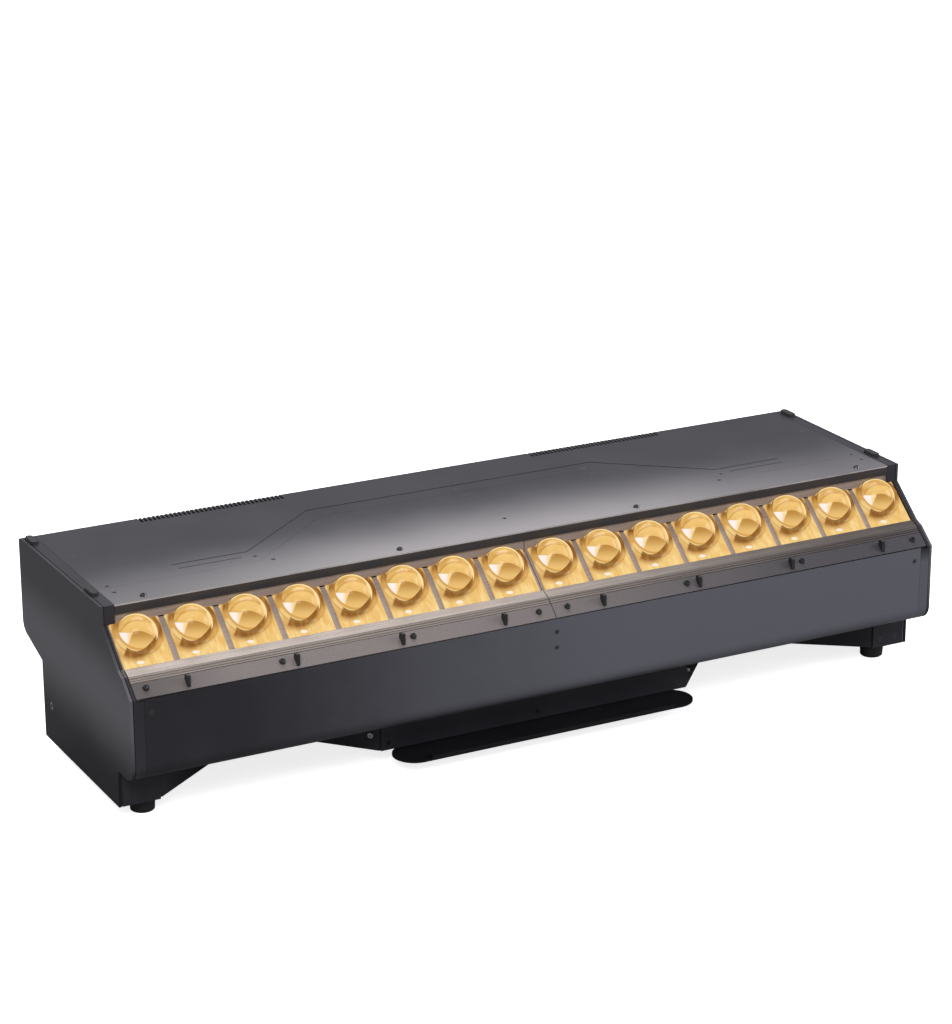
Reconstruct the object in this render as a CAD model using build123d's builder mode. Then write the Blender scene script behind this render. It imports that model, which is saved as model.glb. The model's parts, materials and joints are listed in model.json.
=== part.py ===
from build123d import *
from math import cos, radians, sin, tan
import os

# A floor-standing cyclorama light, in millimetres.
# X runs along the lamp, the lenses face -Y and up, and Z = 0 is the floor under the feet.

# Driving sizes of the body
body_length = 1000
body_back = 160
body_front = -160
body_top = 231
body_bottom = 16.5
brow_front = -86.7
brow_bottom = 210.1
slope_angle = 40.4
lens_face_length = 54.4
shelf_run = 10.5
shelf_drop = 4.4
nose_bottom = 58.7
nose_radius = 18
leg_front = -116.4
lower_back = 102.7
shoulder_low = 105.6
shoulder_high = 123.9
shoulder_radius = 15
back_top_radius = 6

# Sheet and plate
sheet = 1.5
side_plate_thickness = 3
web_thickness = 2
frame_wall = 2
flange_width = 12.5
front_plate_thickness = 2
bulkhead_thickness = 3

# Clearances
touch = 0.2
seam = 0.3
running = 0.05
screw_clearance = 0.1

# Lens modules
cells_per_module = 8
cell_pitch = 61.85
divider_width = 7.7
lens_plate_thickness = 3
lens_dome_radius = 23
lens_dome_depth = 6.8
lens_dome_from_top = 14.3
lens_pocket_radius = 9
lens_skirt_radius = 26.6
lens_skirt_height = 3.2
divider_thickness = 1
tray_thickness = 3
tray_window_radius = 14
tray_leg = 2
board_thickness = 1.6
board_gap = 3
emitter_size = 3.5
emitter_height = 1.2
emitter_spread = 5
sink_base = 6
fin_height = 30
fin_thickness = 2
fin_pitch = 12
module_edge_gap = 1.3
module_seam_half = 0.5
brow_band_setback = 2.2
brow_flange = 11.3
frame_flange_depth = 20
slope_lip = 3.5

# Rail and filter band under the lenses
rail_length = 8.3
rail_groove_depth = 0.8
rail_groove_width = 1
band_thickness = 2.5
band_start = 8.9
band_end = 27.2
band_screw_at = 16
band_screw_pitch = 153.4
hook_width = 3.8
hook_height = 13
hook_depth = 8
hook_at = 24.5

# Lower chassis and its two bays
leg_inner = 453
centre_half = 194.5
bay_leg_angle = 35.6
bay_centre_angle = 47.6
bay_depth = 76.4
floor_lift = 1.5

# Feet and bumpers
foot_radius = 14.4
foot_x = 466
foot_front_y = -95.3
foot_rear_y = 80
foot_taper = 1.2
bumper_length = 26
bumper_width = 10
bumper_height = 4
bumper_front_y = -42.5
bumper_rear_y = 137.6

# Top covers
seam_front_y = -36.6
seam_back_y = 65.2
seam_outer_x = 298
seam_inner_x = 178
joint_strip_half = 20
stripe_width = 2.4
stripe_depth = 0.5
stripe_outer_x = 386
stripe_gap = 25
short_stripe_gap = 12
comb_left_x = -275
comb_right_x = 222
comb_slots = 34
comb_pitch = 5.2
comb_slot = 3
comb_start = 141
comb_drop = 12
cover_back_flange = 20

# Screws
small_screw = 1.5
small_head = 2.75
small_length = 4.5
button_screw = 2
button_head = 3.8
button_head_height = 2.2
button_length = 7
button_socket = 1.45

# Hanging bracket
bracket_arm_x = 118
pivot_y = 5
pivot_z = 9.7
pivot_radius = 3
pivot_head_radius = 5.5
pivot_head_height = 4
arm_width = 30
arm_wall = 2
arm_depth = 11
crossbar_half = 188
crossbar_width = 50
crossbar_thickness = 2
crossbar_front = -160
crossbar_top = 17.2
hem_half = 153.5
hem_width = 10
hem_gap = 1.5
hinge_side_gap = 0.5
clamp_hole_radius = 6.5
clamp_hole_y = -60
bracket_screw_y = -130.5

# Fans
fan_size = 80
fan_depth = 25
fan_bore = 38
fan_spacing = 86
fan_z = 172
hub_radius = 14
blade_tip = 36.5
blade_count = 7
fan_pin = 1.5
fan_pin_length = 12
hub_plate = 3
strut_width = 4

# Control panel on the back
panel_x = -26.5
panel_z = 176
panel_width = 120
panel_height = 56
panel_lap = 6
window_width = 48
window_height = 24
window_offset = 25
button_radius = 4
button_pitch = 11
button_offset = -27
button_travel = 0.8
button_proud = 1.2
button_count = 4
button_flange = 1.2

# Connectors on the lower back
socket_z = 82
socket_pitch = 34
power_x = -330
data_x = 262
socket_radius = 12
socket_bore = 9.5
socket_depth = 10
socket_reach = 8
socket_flange = 30
socket_flange_thickness = 2.5
socket_body = 22

# Derived places
half = body_length / 2
frame_outer = half - side_plate_thickness
flange_inner = frame_outer - flange_width
cover_half = flange_inner - seam
web_inner = frame_outer - web_thickness
module_outer = frame_outer - slope_lip - module_edge_gap
sink_outer = web_inner - touch
sink_inner = bulkhead_thickness / 2 + touch
chassis_half = web_inner - touch
cover_under = body_top - sheet
strip_top = cover_under - touch
foot_height = body_bottom + floor_lift
bay_back = leg_front + bay_depth

slope = (-cos(radians(slope_angle)), -sin(radians(slope_angle)))
outward = (-sin(radians(slope_angle)), cos(radians(slope_angle)))
brow = (brow_front, brow_bottom)
shelf_top = (brow[0] + slope[0] * lens_face_length, brow[1] + slope[1] * lens_face_length)
shelf_low = (shelf_top[0] - shelf_run, shelf_top[1] - shelf_drop)
lip_length = (shelf_low[0] - body_front) / -slope[0]
lip = (body_front, shelf_low[1] + slope[1] * lip_length)
crossbar_bottom = crossbar_top - crossbar_thickness
arm_bottom = crossbar_bottom - arm_depth


def on_face(distance, height):
    """A point of the lens face's cross-section, down the slope and out from it."""
    y = brow[0] + slope[0] * distance + outward[0] * height
    z = brow[1] + slope[1] * distance + outward[1] * height
    return (y, z)


def on_lip(distance, height):
    """A point of the lower slope's cross-section, measured from under the shelf."""
    y = shelf_low[0] + slope[0] * distance + outward[0] * height
    z = shelf_low[1] + slope[1] * distance + outward[1] * height
    return (y, z)


def cell_centre(hand, cell):
    """The X of one lens cell, counted from the middle of the lamp."""
    return hand * (cell + 0.5) * cell_pitch


def face_plane(x, distance, height):
    """A plane on the lens face, its Z out of the face and its Y up the slope."""
    y, z = on_face(distance, height)
    return Plane(origin=(x, y, z), x_dir=(1, 0, 0), z_dir=(0, outward[0], outward[1]))


def lip_plane(x, distance, height):
    """The same kind of plane on the lower slope."""
    y, z = on_lip(distance, height)
    return Plane(origin=(x, y, z), x_dir=(1, 0, 0), z_dir=(0, outward[0], outward[1]))


def section_at(x_low):
    """A cross-section plane, its sketch axes along Y and Z."""
    return Plane.YZ.offset(x_low)


def back_plane(x, y, z):
    """A plane that looks out of the back of the lamp."""
    return Plane(origin=(x, y, z), x_dir=(-1, 0, 0), z_dir=(0, 1, 0))


def front_plane(x, y, z):
    """A plane that looks out of the front of the lamp."""
    return Plane(origin=(x, y, z), x_dir=(1, 0, 0), z_dir=(0, -1, 0))


def near(points, y, z):
    """The corners of a sketch that lie at one point."""
    return [point for point in points if abs(point.X - y) < 0.01 and abs(point.Y - z) < 0.01]


def save(builder, label):
    """Name a finished piece and write it."""
    builder.part.label = label
    export_step(builder.part, f"parts/{label}.step")


def keep(builder, label):
    """Put one finished piece aside for a file that several alike pieces share."""
    kept.setdefault(label, []).append(builder.part)


def save_kept(label):
    """Write the pieces put aside under one name, each still a solid of its own."""
    with BuildPart() as group:
        add(kept[label])
    save(group, label)


kept = {}


def whole_outline():
    """The corners of the side of the lamp, legs included."""
    return [
        (brow_front, body_top),
        brow,
        shelf_top,
        shelf_low,
        lip,
        (body_front, nose_bottom),
        (leg_front, nose_bottom),
        (leg_front, body_bottom),
        (lower_back, body_bottom),
        (lower_back, shoulder_low),
        (body_back, shoulder_high),
        (body_back, body_top),
    ]


def upper_outline():
    """The corners of the housing above the lower chassis."""
    corners = [corner for corner in whole_outline() if corner[1] > body_bottom]
    place = corners.index((leg_front, nose_bottom))
    corners[place] = (lower_back, nose_bottom)
    return corners


def fill_outline(sketch, corners):
    """Fill the corners in the open sketch, and round those that the body has round."""
    Polygon(*corners, align=None)
    fillet(near(sketch.vertices(), body_front, nose_bottom), radius=nose_radius)
    fillet(near(sketch.vertices(), body_back, shoulder_high), radius=shoulder_radius)
    fillet(near(sketch.vertices(), body_back, body_top), radius=back_top_radius)


def lens_face_cutter():
    """The strip along the slope that the end frame leaves to the lens module."""
    return [
        (brow[0] + 3.5, brow[1] + touch),
        (brow[0] - 0.5, brow[1] + touch),
        on_face(lens_face_length, 5),
        on_lip(0, 5),
        (body_front - 1, lip[1] + 5),
        (body_front - 1, lip[1] - 2.5),
        (body_front + 3.5, lip[1] - 2.5),
        on_lip(20, -4),
        on_face(lens_face_length, -4),
    ]


os.makedirs("parts", exist_ok=True)

# Places of the small screws, in millimetres on the face that each is driven into
top_spots = [(0, seam_back_y - 10), (0, seam_back_y + 13.5), (0, -38.7)]
for hand in (-1, 1):
    top_spots.append((hand * 167, seam_back_y - 11.4))
    top_spots.append((hand * 166, seam_back_y + 9.7))
    top_spots.append((hand * 282.5, seam_front_y - 1.7))
    top_spots.append((hand * 296, seam_front_y + 16.3))
    top_spots.append((hand * 471, seam_front_y - 15.9))
    top_spots.append((hand * 471, seam_front_y + 4.9))
    top_spots.append((hand * 471, 74.4))
brow_spots = [(hand * place, brow_front + 10.9) for place in (149, 448) for hand in (-1, 1)]
nose_spots = [(0, 136.4), (0, 118), (-476, 136.4), (476, 136.4)]
centre_spots = [(-185.5, 26), (0, 26), (185.5, 26)]
leg_spots = [(hand * place, 27) for place in (463, 483.8) for hand in (-1, 1)]
flange_spots = [(hand * place, -125) for place in (140, 420) for hand in (-1, 1)]
cover_back_spots = [(-440, 215), (-120, 215), (60, 215), (440, 215)]
crossbar_spots = [(hand * bracket_arm_x, bracket_screw_y) for hand in (-1, 1)]

# Heights and depths that several pieces share
flange_top = body_top - frame_wall - touch
tray_top = -lens_plate_thickness - touch
tray_under = tray_top - tray_thickness
board_top = tray_under - board_gap
board_under = board_top - board_thickness
sink_top = board_under - touch
sink_under = sink_top - sink_base
fin_under = sink_under - fin_height
lip_rise = (shelf_low[0] - shelf_top[0]) * outward[0] + (shelf_low[1] - shelf_top[1]) * outward[1]
lip_run = (shelf_low[0] - shelf_top[0]) * slope[0] + (shelf_low[1] - shelf_top[1]) * slope[1]
lip_start = lens_face_length + lip_run
rail_end = lip_start + rail_length
step_top = lip_rise - band_thickness - touch
step_start = rail_end + seam
step_end = lip_start + band_end
band_y = brow_front + brow_band_setback
band_meets = ((brow_front - band_y) + outward[0] * tray_top) / -slope[0]
wall_inner = lower_back - sheet
back_inner = body_back - sheet
lip_outer = back_inner - touch
lip_inner = lip_outer - sheet
panel_top = body_top - cover_back_flange
tub_back = wall_inner - touch
floor_bottom = foot_height
floor_top = floor_bottom + 2
tub_front = leg_front + front_plate_thickness
end_ledge = 462

# Side plates, flat and screwed on over the end frames
insert_y = 79.7
insert_z = 59.4
insert_radius = 4.25
insert_bore = 2.5
insert_collar = 2.5
for hand, label in ((-1, "side_plate_left"), (1, "side_plate_right")):
    with BuildPart() as side_plate:
        with BuildSketch(section_at(hand * half)) as side_sketch:
            fill_outline(side_sketch, whole_outline())
            with Locations((insert_y, insert_z)):
                Circle(insert_radius + touch, mode=Mode.SUBTRACT)
        extrude(amount=-hand * side_plate_thickness)
    save(side_plate, label)

# End frames, a web with a rim that closes the ends of the covers
groove = 1
frame_top_inner = cover_under - touch
for hand, label in ((-1, "end_frame_left"), (1, "end_frame_right")):
    with BuildPart() as end_frame:
        with BuildSketch(section_at(hand * web_inner)) as web_sketch:
            fill_outline(web_sketch, whole_outline())
        extrude(amount=hand * (web_thickness - groove))
        with BuildSketch(section_at(hand * (frame_outer - groove))) as inset_sketch:
            fill_outline(inset_sketch, whole_outline())
            offset(amount=-groove, kind=Kind.INTERSECTION)
        extrude(amount=hand * groove)
        with BuildSketch(section_at(hand * flange_inner)) as rim_sketch:
            fill_outline(rim_sketch, upper_outline())
            offset(amount=-frame_wall, kind=Kind.INTERSECTION, mode=Mode.SUBTRACT)
        extrude(amount=hand * (web_inner - flange_inner))
        with BuildSketch(section_at(hand * flange_inner)):
            Polygon(*lens_face_cutter(), align=None)
        extrude(amount=hand * (frame_outer - slope_lip - flange_inner), mode=Mode.SUBTRACT)
        with BuildSketch(Plane.XY.offset(frame_top_inner - frame_wall)):
            with Locations((hand * (end_ledge + web_inner) / 2, 40)):
                Rectangle(web_inner - end_ledge, 190)
        extrude(amount=frame_wall)
        with BuildSketch(Plane.XZ.offset(-(body_front + sheet + touch))):
            with Locations((hand * (end_ledge + web_inner) / 2, 110)):
                Rectangle(web_inner - end_ledge, 60)
        extrude(amount=-frame_wall)
        with BuildSketch(section_at(hand * (web_inner - 1))):
            with Locations((insert_y, insert_z)):
                Circle(insert_radius + touch)
        extrude(amount=hand * 10, mode=Mode.SUBTRACT)
        with BuildSketch(section_at(hand * web_inner)):
            with Locations((insert_y, insert_z)):
                Circle(insert_radius + insert_collar + 2 * touch)
        extrude(amount=-hand * 12, mode=Mode.SUBTRACT)
        with BuildSketch(Plane.XY.offset(frame_top_inner)):
            with Locations(*[spot for spot in top_spots if spot[0] * hand > end_ledge]):
                Circle(small_screw + screw_clearance)
        extrude(amount=-frame_wall, mode=Mode.SUBTRACT)
        with BuildSketch(front_plane(0, body_front, 0)):
            with Locations(*[spot for spot in nose_spots if spot[0] * hand > end_ledge]):
                Circle(small_screw + screw_clearance)
        extrude(amount=-5, mode=Mode.SUBTRACT)
    save(end_frame, label)

# Threaded inserts in the ends, for joining lamps into a row
with BuildPart() as side_inserts:
    for hand in (-1, 1):
        with BuildSketch(section_at(hand * (half - 0.3))):
            with Locations((insert_y, insert_z)):
                Circle(insert_radius)
        extrude(amount=-hand * 12)
        with BuildSketch(section_at(hand * (web_inner - touch))):
            with Locations((insert_y, insert_z)):
                Circle(insert_radius + insert_collar)
        extrude(amount=-hand * 3)
        with BuildSketch(section_at(hand * half)):
            with Locations((insert_y, insert_z)):
                Circle(insert_bore)
        extrude(amount=-hand * 20, mode=Mode.SUBTRACT)
save(side_inserts, "side_inserts")


def seam_path(margin):
    """The front edge of the rear cover, moved back by a margin and run out to both ends."""
    y_low = seam_front_y + margin
    y_high = seam_back_y + margin
    return [
        (-cover_half, y_low),
        (-seam_outer_x, y_low),
        (-seam_inner_x, y_high),
        (seam_inner_x, y_high),
        (seam_outer_x, y_low),
        (cover_half, y_low),
    ]


# Front half of the top, with a short flange over the lens modules
with BuildPart() as top_cover_front:
    with BuildSketch(Plane.XY.offset(cover_under)):
        with BuildLine():
            Polyline(
                *seam_path(-seam / 2),
                (cover_half, brow_front),
                (-cover_half, brow_front),
                close=True,
            )
        make_face()
    extrude(amount=sheet)
    with BuildSketch(Plane.XY.offset(body_top - brow_flange)):
        with Locations((0, brow_front + sheet / 2)):
            Rectangle(2 * cover_half, sheet)
    extrude(amount=brow_flange)
    outer_bend = top_cover_front.edges().filter_by(Axis.X).filter_by_position(Axis.Y, brow_front, brow_front)
    fillet(outer_bend.sort_by(Axis.Z)[-1], radius=1)
    front_spots = [spot for spot in top_spots if spot[1] < seam_front_y or abs(spot[0]) < 168]
    front_spots = [spot for spot in front_spots if spot[1] < seam_back_y]
    with BuildSketch(Plane.XY.offset(body_top)):
        with Locations(*front_spots):
            Circle(small_screw + screw_clearance)
        with Locations(*brow_spots):
            Circle(button_screw + screw_clearance)
    extrude(amount=-2 * sheet, mode=Mode.SUBTRACT)
    with BuildSketch(Plane.XY.offset(body_top)):
        with Locations(*front_spots):
            Circle(small_head + screw_clearance)
    extrude(amount=-sheet - 0.01, taper=44, mode=Mode.SUBTRACT)
save(top_cover_front, "top_cover_front")

# Back half of the top, bent down at the back and pierced with two combs of air slots
with BuildPart() as top_cover_rear:
    with BuildSketch(section_at(-cover_half)) as rear_top_sketch:
        with BuildLine():
            Polyline(
                (seam_front_y, cover_under),
                (seam_front_y, body_top),
                (body_back, body_top),
                (body_back, panel_top + seam),
                (back_inner, panel_top + seam),
                (back_inner, cover_under),
                close=True,
            )
        make_face()
        fillet(near(rear_top_sketch.vertices(), body_back, body_top), radius=back_top_radius)
        fillet(near(rear_top_sketch.vertices(), back_inner, cover_under), radius=back_top_radius - sheet)
    extrude(amount=2 * cover_half)
    with BuildSketch(Plane.XY.offset(cover_under - 1)):
        with BuildLine():
            Polyline(
                *seam_path(seam / 2),
                (cover_half, seam_front_y - 5),
                (-cover_half, seam_front_y - 5),
                close=True,
            )
        make_face()
    extrude(amount=sheet + 2, mode=Mode.SUBTRACT)
    for comb_x in (comb_left_x, comb_right_x):
        with BuildSketch(Plane.XY.offset(body_top - comb_drop)):
            with Locations((comb_x, (comb_start + body_back) / 2 + 1)):
                with GridLocations(comb_pitch, 0, comb_slots, 1):
                    Rectangle(comb_slot, body_back - comb_start + 2)
        extrude(amount=comb_drop + 1, mode=Mode.SUBTRACT)
    with BuildSketch(Plane.XY.offset(body_top - stripe_depth)):
        stripe_low = seam_front_y + 33.5
        stripe_high = seam_back_y + stripe_gap
        with BuildLine() as stripe_line:
            Polyline(
                (-stripe_outer_x, stripe_low),
                (-seam_outer_x, stripe_low),
                (-seam_inner_x - 5, stripe_high),
                (seam_inner_x + 5, stripe_high),
                (seam_outer_x, stripe_low),
                (stripe_outer_x, stripe_low),
            )
        trace(stripe_line.line, line_width=stripe_width)
        for hand in (-1, 1):
            with Locations((hand * 347, stripe_low - short_stripe_gap - 1.5)):
                Rectangle(74, 1.6)
    extrude(amount=stripe_depth, mode=Mode.SUBTRACT)
    rear_spots = [spot for spot in top_spots if spot not in front_spots]
    with BuildSketch(Plane.XY.offset(body_top)):
        with Locations(*rear_spots):
            Circle(small_screw + screw_clearance)
    extrude(amount=-2 * sheet, mode=Mode.SUBTRACT)
    with BuildSketch(Plane.XY.offset(body_top)):
        with Locations(*rear_spots):
            Circle(small_head + screw_clearance)
    extrude(amount=-sheet - 0.01, taper=44, mode=Mode.SUBTRACT)
    with BuildSketch(back_plane(0, body_back, 0)):
        with Locations(*[(-x, z) for x, z in cover_back_spots]):
            Circle(small_screw + screw_clearance)
    extrude(amount=-2 * sheet, mode=Mode.SUBTRACT)
    with BuildSketch(back_plane(0, body_back, 0)):
        with Locations(*[(-x, z) for x, z in cover_back_spots]):
            Circle(small_head + screw_clearance)
    extrude(amount=-sheet - 0.01, taper=44, mode=Mode.SUBTRACT)
save(top_cover_rear, "top_cover_rear")

# Strip under the seam that both covers are screwed to
strip_reach = end_ledge - touch
with BuildPart() as joint_strip:
    with BuildSketch(Plane.XY.offset(strip_top - 2)):
        with BuildLine() as strip_line:
            Polyline(
                (-strip_reach, seam_front_y),
                (-seam_outer_x, seam_front_y),
                (-seam_inner_x, seam_back_y),
                (seam_inner_x, seam_back_y),
                (seam_outer_x, seam_front_y),
                (strip_reach, seam_front_y),
            )
        trace(strip_line.line, line_width=2 * joint_strip_half)
    extrude(amount=2)
    with BuildSketch(Plane.XY.offset(strip_top)):
        with Locations(*[spot for spot in top_spots if abs(spot[0]) < strip_reach and spot[1] > -38.6]):
            Circle(small_screw + screw_clearance)
    extrude(amount=-2, mode=Mode.SUBTRACT)
save(joint_strip, "joint_strip")

# Back of the housing, folded round the lower wall, the shoulder and the upper wall
grille_radius = 31
grille_pitch = 7
grille_slot = 3.5
fan_places = (
    comb_left_x - fan_spacing / 2,
    comb_left_x + fan_spacing / 2,
    comb_right_x - fan_spacing / 2,
    comb_right_x + fan_spacing / 2,
)
socket_places = (power_x, power_x + socket_pitch, data_x, data_x + socket_pitch)
step_low = panel_top - 4.7
with BuildPart() as rear_panel:
    with BuildSketch(section_at(-cover_half)) as rear_sketch:
        Polygon(
            (wall_inner, body_bottom),
            (lower_back, body_bottom),
            (lower_back, shoulder_low),
            (body_back, shoulder_high),
            (body_back, panel_top),
            (lip_outer, panel_top),
            (lip_outer, cover_under - 5),
            (lip_outer - 4.8, cover_under - touch),
            (lip_outer - 6.8, cover_under - touch),
            (lip_inner, cover_under - 5.5),
            (lip_inner, step_low),
            (back_inner, step_low),
            (back_inner, shoulder_high + sheet * tan(radians(36))),
            (wall_inner, shoulder_low + sheet * tan(radians(36))),
            align=None,
        )
        fillet(near(rear_sketch.vertices(), body_back, shoulder_high), radius=shoulder_radius)
        inner_bend = near(rear_sketch.vertices(), back_inner, shoulder_high + sheet * tan(radians(36)))
        fillet(inner_bend, radius=shoulder_radius - sheet)
    extrude(amount=2 * cover_half)
    with BuildSketch(back_plane(0, body_back, fan_z)):
        for place in fan_places:
            for row in range(-4, 5):
                height = row * grille_pitch
                reach = (grille_radius ** 2 - height ** 2) ** 0.5
                with Locations((-place, height)):
                    SlotOverall(2 * reach, grille_slot)
        with Locations((-panel_x, panel_z - fan_z)):
            Rectangle(panel_width - 2 * panel_lap, panel_height - 2 * panel_lap)
    extrude(amount=-2 * sheet, mode=Mode.SUBTRACT)
    with BuildSketch(back_plane(0, lower_back, socket_z)):
        with Locations(*[(-place, 0) for place in socket_places]):
            Circle(socket_radius + touch)
    extrude(amount=-2 * sheet, mode=Mode.SUBTRACT)
    with BuildSketch(back_plane(0, body_back, 0)):
        with Locations(*[(-x, z) for x, z in cover_back_spots]):
            Circle(small_screw + screw_clearance)
    extrude(amount=-5, mode=Mode.SUBTRACT)
save(rear_panel, "rear_panel")

# Front cover, a long flat front that turns under the lamp
with BuildPart() as front_cover:
    with BuildSketch(section_at(-cover_half)) as nose_sketch:
        Polygon(
            (body_front, lip[1] - 0.95),
            (body_front, nose_bottom),
            (leg_front - seam, nose_bottom),
            (leg_front - seam, nose_bottom + sheet),
            (body_front + sheet, nose_bottom + sheet),
            (body_front + sheet, lip[1] - 0.95),
            align=None,
        )
        fillet(near(nose_sketch.vertices(), body_front, nose_bottom), radius=nose_radius)
        inner_nose = near(nose_sketch.vertices(), body_front + sheet, nose_bottom + sheet)
        fillet(inner_nose, radius=nose_radius - sheet)
    extrude(amount=2 * cover_half)
    with BuildSketch(front_plane(0, body_front, 0)):
        with Locations(*nose_spots):
            Circle(small_screw + screw_clearance)
    extrude(amount=-2 * sheet, mode=Mode.SUBTRACT)
    with BuildSketch(front_plane(0, body_front, 0)):
        with Locations(*nose_spots):
            Circle(small_head + screw_clearance)
    extrude(amount=-sheet - 0.01, taper=44, mode=Mode.SUBTRACT)
    with BuildSketch(Plane.XY.offset(nose_bottom)):
        with Locations(*flange_spots):
            Circle(small_screw + screw_clearance)
    extrude(amount=2 * sheet, mode=Mode.SUBTRACT)
    with BuildSketch(Plane.XY.offset(nose_bottom)):
        with Locations(*flange_spots):
            Circle(small_head + screw_clearance)
    extrude(amount=sheet + 0.01, taper=44, mode=Mode.SUBTRACT)
save(front_cover, "front_cover")

# Places on the lower chassis, whose two bays narrow towards the back
bolt_depth = 8.8
bolt_z = 35.6
foot_bolt_radius = 2.5
hinge_half = arm_width / 2 - arm_wall - hinge_side_gap
hinge_spots = [(hand * bracket_arm_x + side * 7, pivot_y) for hand in (-1, 1) for side in (-1, 1)]
foot_spots = [(hand * foot_x, y) for hand in (-1, 1) for y in (foot_front_y, foot_rear_y)]


def centre_wall(hand, depth, height):
    """A plane on the slanting wall of the centre box that looks into the bay."""
    x = hand * (centre_half + depth / tan(radians(bay_centre_angle)))
    angle = radians(bay_centre_angle)
    return Plane(
        origin=(x, leg_front + depth, height),
        x_dir=(0, 0, 1),
        z_dir=(hand * sin(angle), -cos(angle), 0),
    )


# Rear tray, the long part of the lower chassis behind both bays
with BuildPart() as rear_tray:
    with BuildSketch(Plane.XY.offset(floor_bottom)):
        with Locations((0, (bay_back + tub_back) / 2)):
            Rectangle(2 * chassis_half, tub_back - bay_back)
    extrude(amount=nose_bottom - floor_bottom)
    with BuildSketch(Plane.XY.offset(floor_top)):
        with Locations((0, (bay_back + tub_back) / 2)):
            Rectangle(2 * chassis_half - 4, tub_back - bay_back - 4)
    extrude(amount=nose_bottom - floor_top, mode=Mode.SUBTRACT)
    with BuildSketch(Plane.XY.offset(floor_bottom)):
        with Locations(*[spot for spot in foot_spots + hinge_spots if spot[1] > bay_back]):
            Circle(foot_bolt_radius + screw_clearance)
    extrude(amount=2, mode=Mode.SUBTRACT)
    for hand in (-1, 1):
        with BuildSketch(section_at(hand * web_inner)):
            with Locations((insert_y, insert_z)):
                Circle(insert_radius + insert_collar + 2 * touch)
        extrude(amount=-hand * 12, mode=Mode.SUBTRACT)
save(rear_tray, "rear_tray")

# Centre box, which narrows towards the front between the bays
box_back = bay_back - touch
box_run = (box_back - leg_front) / tan(radians(bay_centre_angle))
leg_run = (box_back - leg_front) / tan(radians(bay_leg_angle))
centre_corners = [
    (-centre_half - box_run, box_back),
    (-centre_half, leg_front),
    (centre_half, leg_front),
    (centre_half + box_run, box_back),
]
with BuildPart() as centre_box:
    with BuildSketch(Plane.XY.offset(floor_bottom)):
        Polygon(*centre_corners, align=None)
        with Locations((0, leg_front)):
            Rectangle(2 * body_length, 2 * front_plate_thickness, mode=Mode.SUBTRACT)
    extrude(amount=nose_bottom - floor_bottom)
    with BuildSketch(Plane.XY.offset(floor_top)):
        Polygon(*centre_corners, align=None)
        offset(amount=-2, kind=Kind.INTERSECTION)
        with Locations((0, leg_front)):
            Rectangle(2 * body_length, 2 * front_plate_thickness + 4, mode=Mode.SUBTRACT)
    extrude(amount=nose_bottom - floor_top, mode=Mode.SUBTRACT)
    with BuildSketch(front_plane(0, leg_front, 0)):
        with Locations(*centre_spots):
            Circle(small_screw + screw_clearance)
    extrude(amount=-5, mode=Mode.SUBTRACT)
    for hand in (-1, 1):
        with BuildSketch(centre_wall(hand, bolt_depth, bolt_z)):
            Circle(button_screw + screw_clearance)
        extrude(amount=-4, mode=Mode.SUBTRACT)
save(centre_box, "centre_box")

# Leg boxes at both ends, open at the top
for hand in (-1, 1):
    leg_corners = [
        (hand * chassis_half, tub_front),
        (hand * chassis_half, box_back),
        (hand * (leg_inner - leg_run), box_back),
        (hand * (leg_inner - front_plate_thickness / tan(radians(bay_leg_angle))), tub_front),
    ]
    with BuildPart() as leg_box:
        with BuildSketch(Plane.XY.offset(floor_bottom)):
            Polygon(*leg_corners, align=None)
        extrude(amount=nose_bottom - floor_bottom)
        with BuildSketch(Plane.XY.offset(floor_top)):
            Polygon(*leg_corners, align=None)
            offset(amount=-2, kind=Kind.INTERSECTION)
        extrude(amount=nose_bottom - floor_top, mode=Mode.SUBTRACT)
        with BuildSketch(Plane.XY.offset(floor_bottom)):
            with Locations((hand * foot_x, foot_front_y)):
                Circle(foot_bolt_radius + screw_clearance)
        extrude(amount=2, mode=Mode.SUBTRACT)
        with BuildSketch(front_plane(0, leg_front, 0)):
            with Locations(*[spot for spot in leg_spots if spot[0] * hand > 0]):
                Circle(small_screw + screw_clearance)
        extrude(amount=-5, mode=Mode.SUBTRACT)
    keep(leg_box, "leg_boxes")
save_kept("leg_boxes")

# Deck over the bays, stepped up at the front where the front cover is screwed to it
deck_half = chassis_half - 35
deck_low = nose_bottom + 0.1
deck_step = nose_bottom + sheet + touch
with BuildPart() as bay_deck:
    with BuildSketch(section_at(-deck_half)):
        Polygon(
            (bay_back + 4, deck_low),
            (bay_back + 4, deck_low + 2),
            (tub_front, deck_low + 2),
            (tub_front, deck_step + 2),
            (tub_front - 21, deck_step + 2),
            (tub_front - 21, deck_step),
            (tub_front - 2, deck_step),
            (tub_front - 2, deck_low),
            align=None,
        )
    extrude(amount=2 * deck_half)
    with BuildSketch(Plane.XY.offset(deck_low - 1)):
        with Locations((0, (bay_back - 108) / 2)):
            Rectangle(360, bay_back + 108)
    extrude(amount=6, mode=Mode.SUBTRACT)
    with BuildSketch(Plane.XY.offset(nose_bottom)):
        with Locations(*flange_spots):
            Circle(small_screw + screw_clearance)
    extrude(amount=4, mode=Mode.SUBTRACT)
save(bay_deck, "bay_deck")

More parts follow.
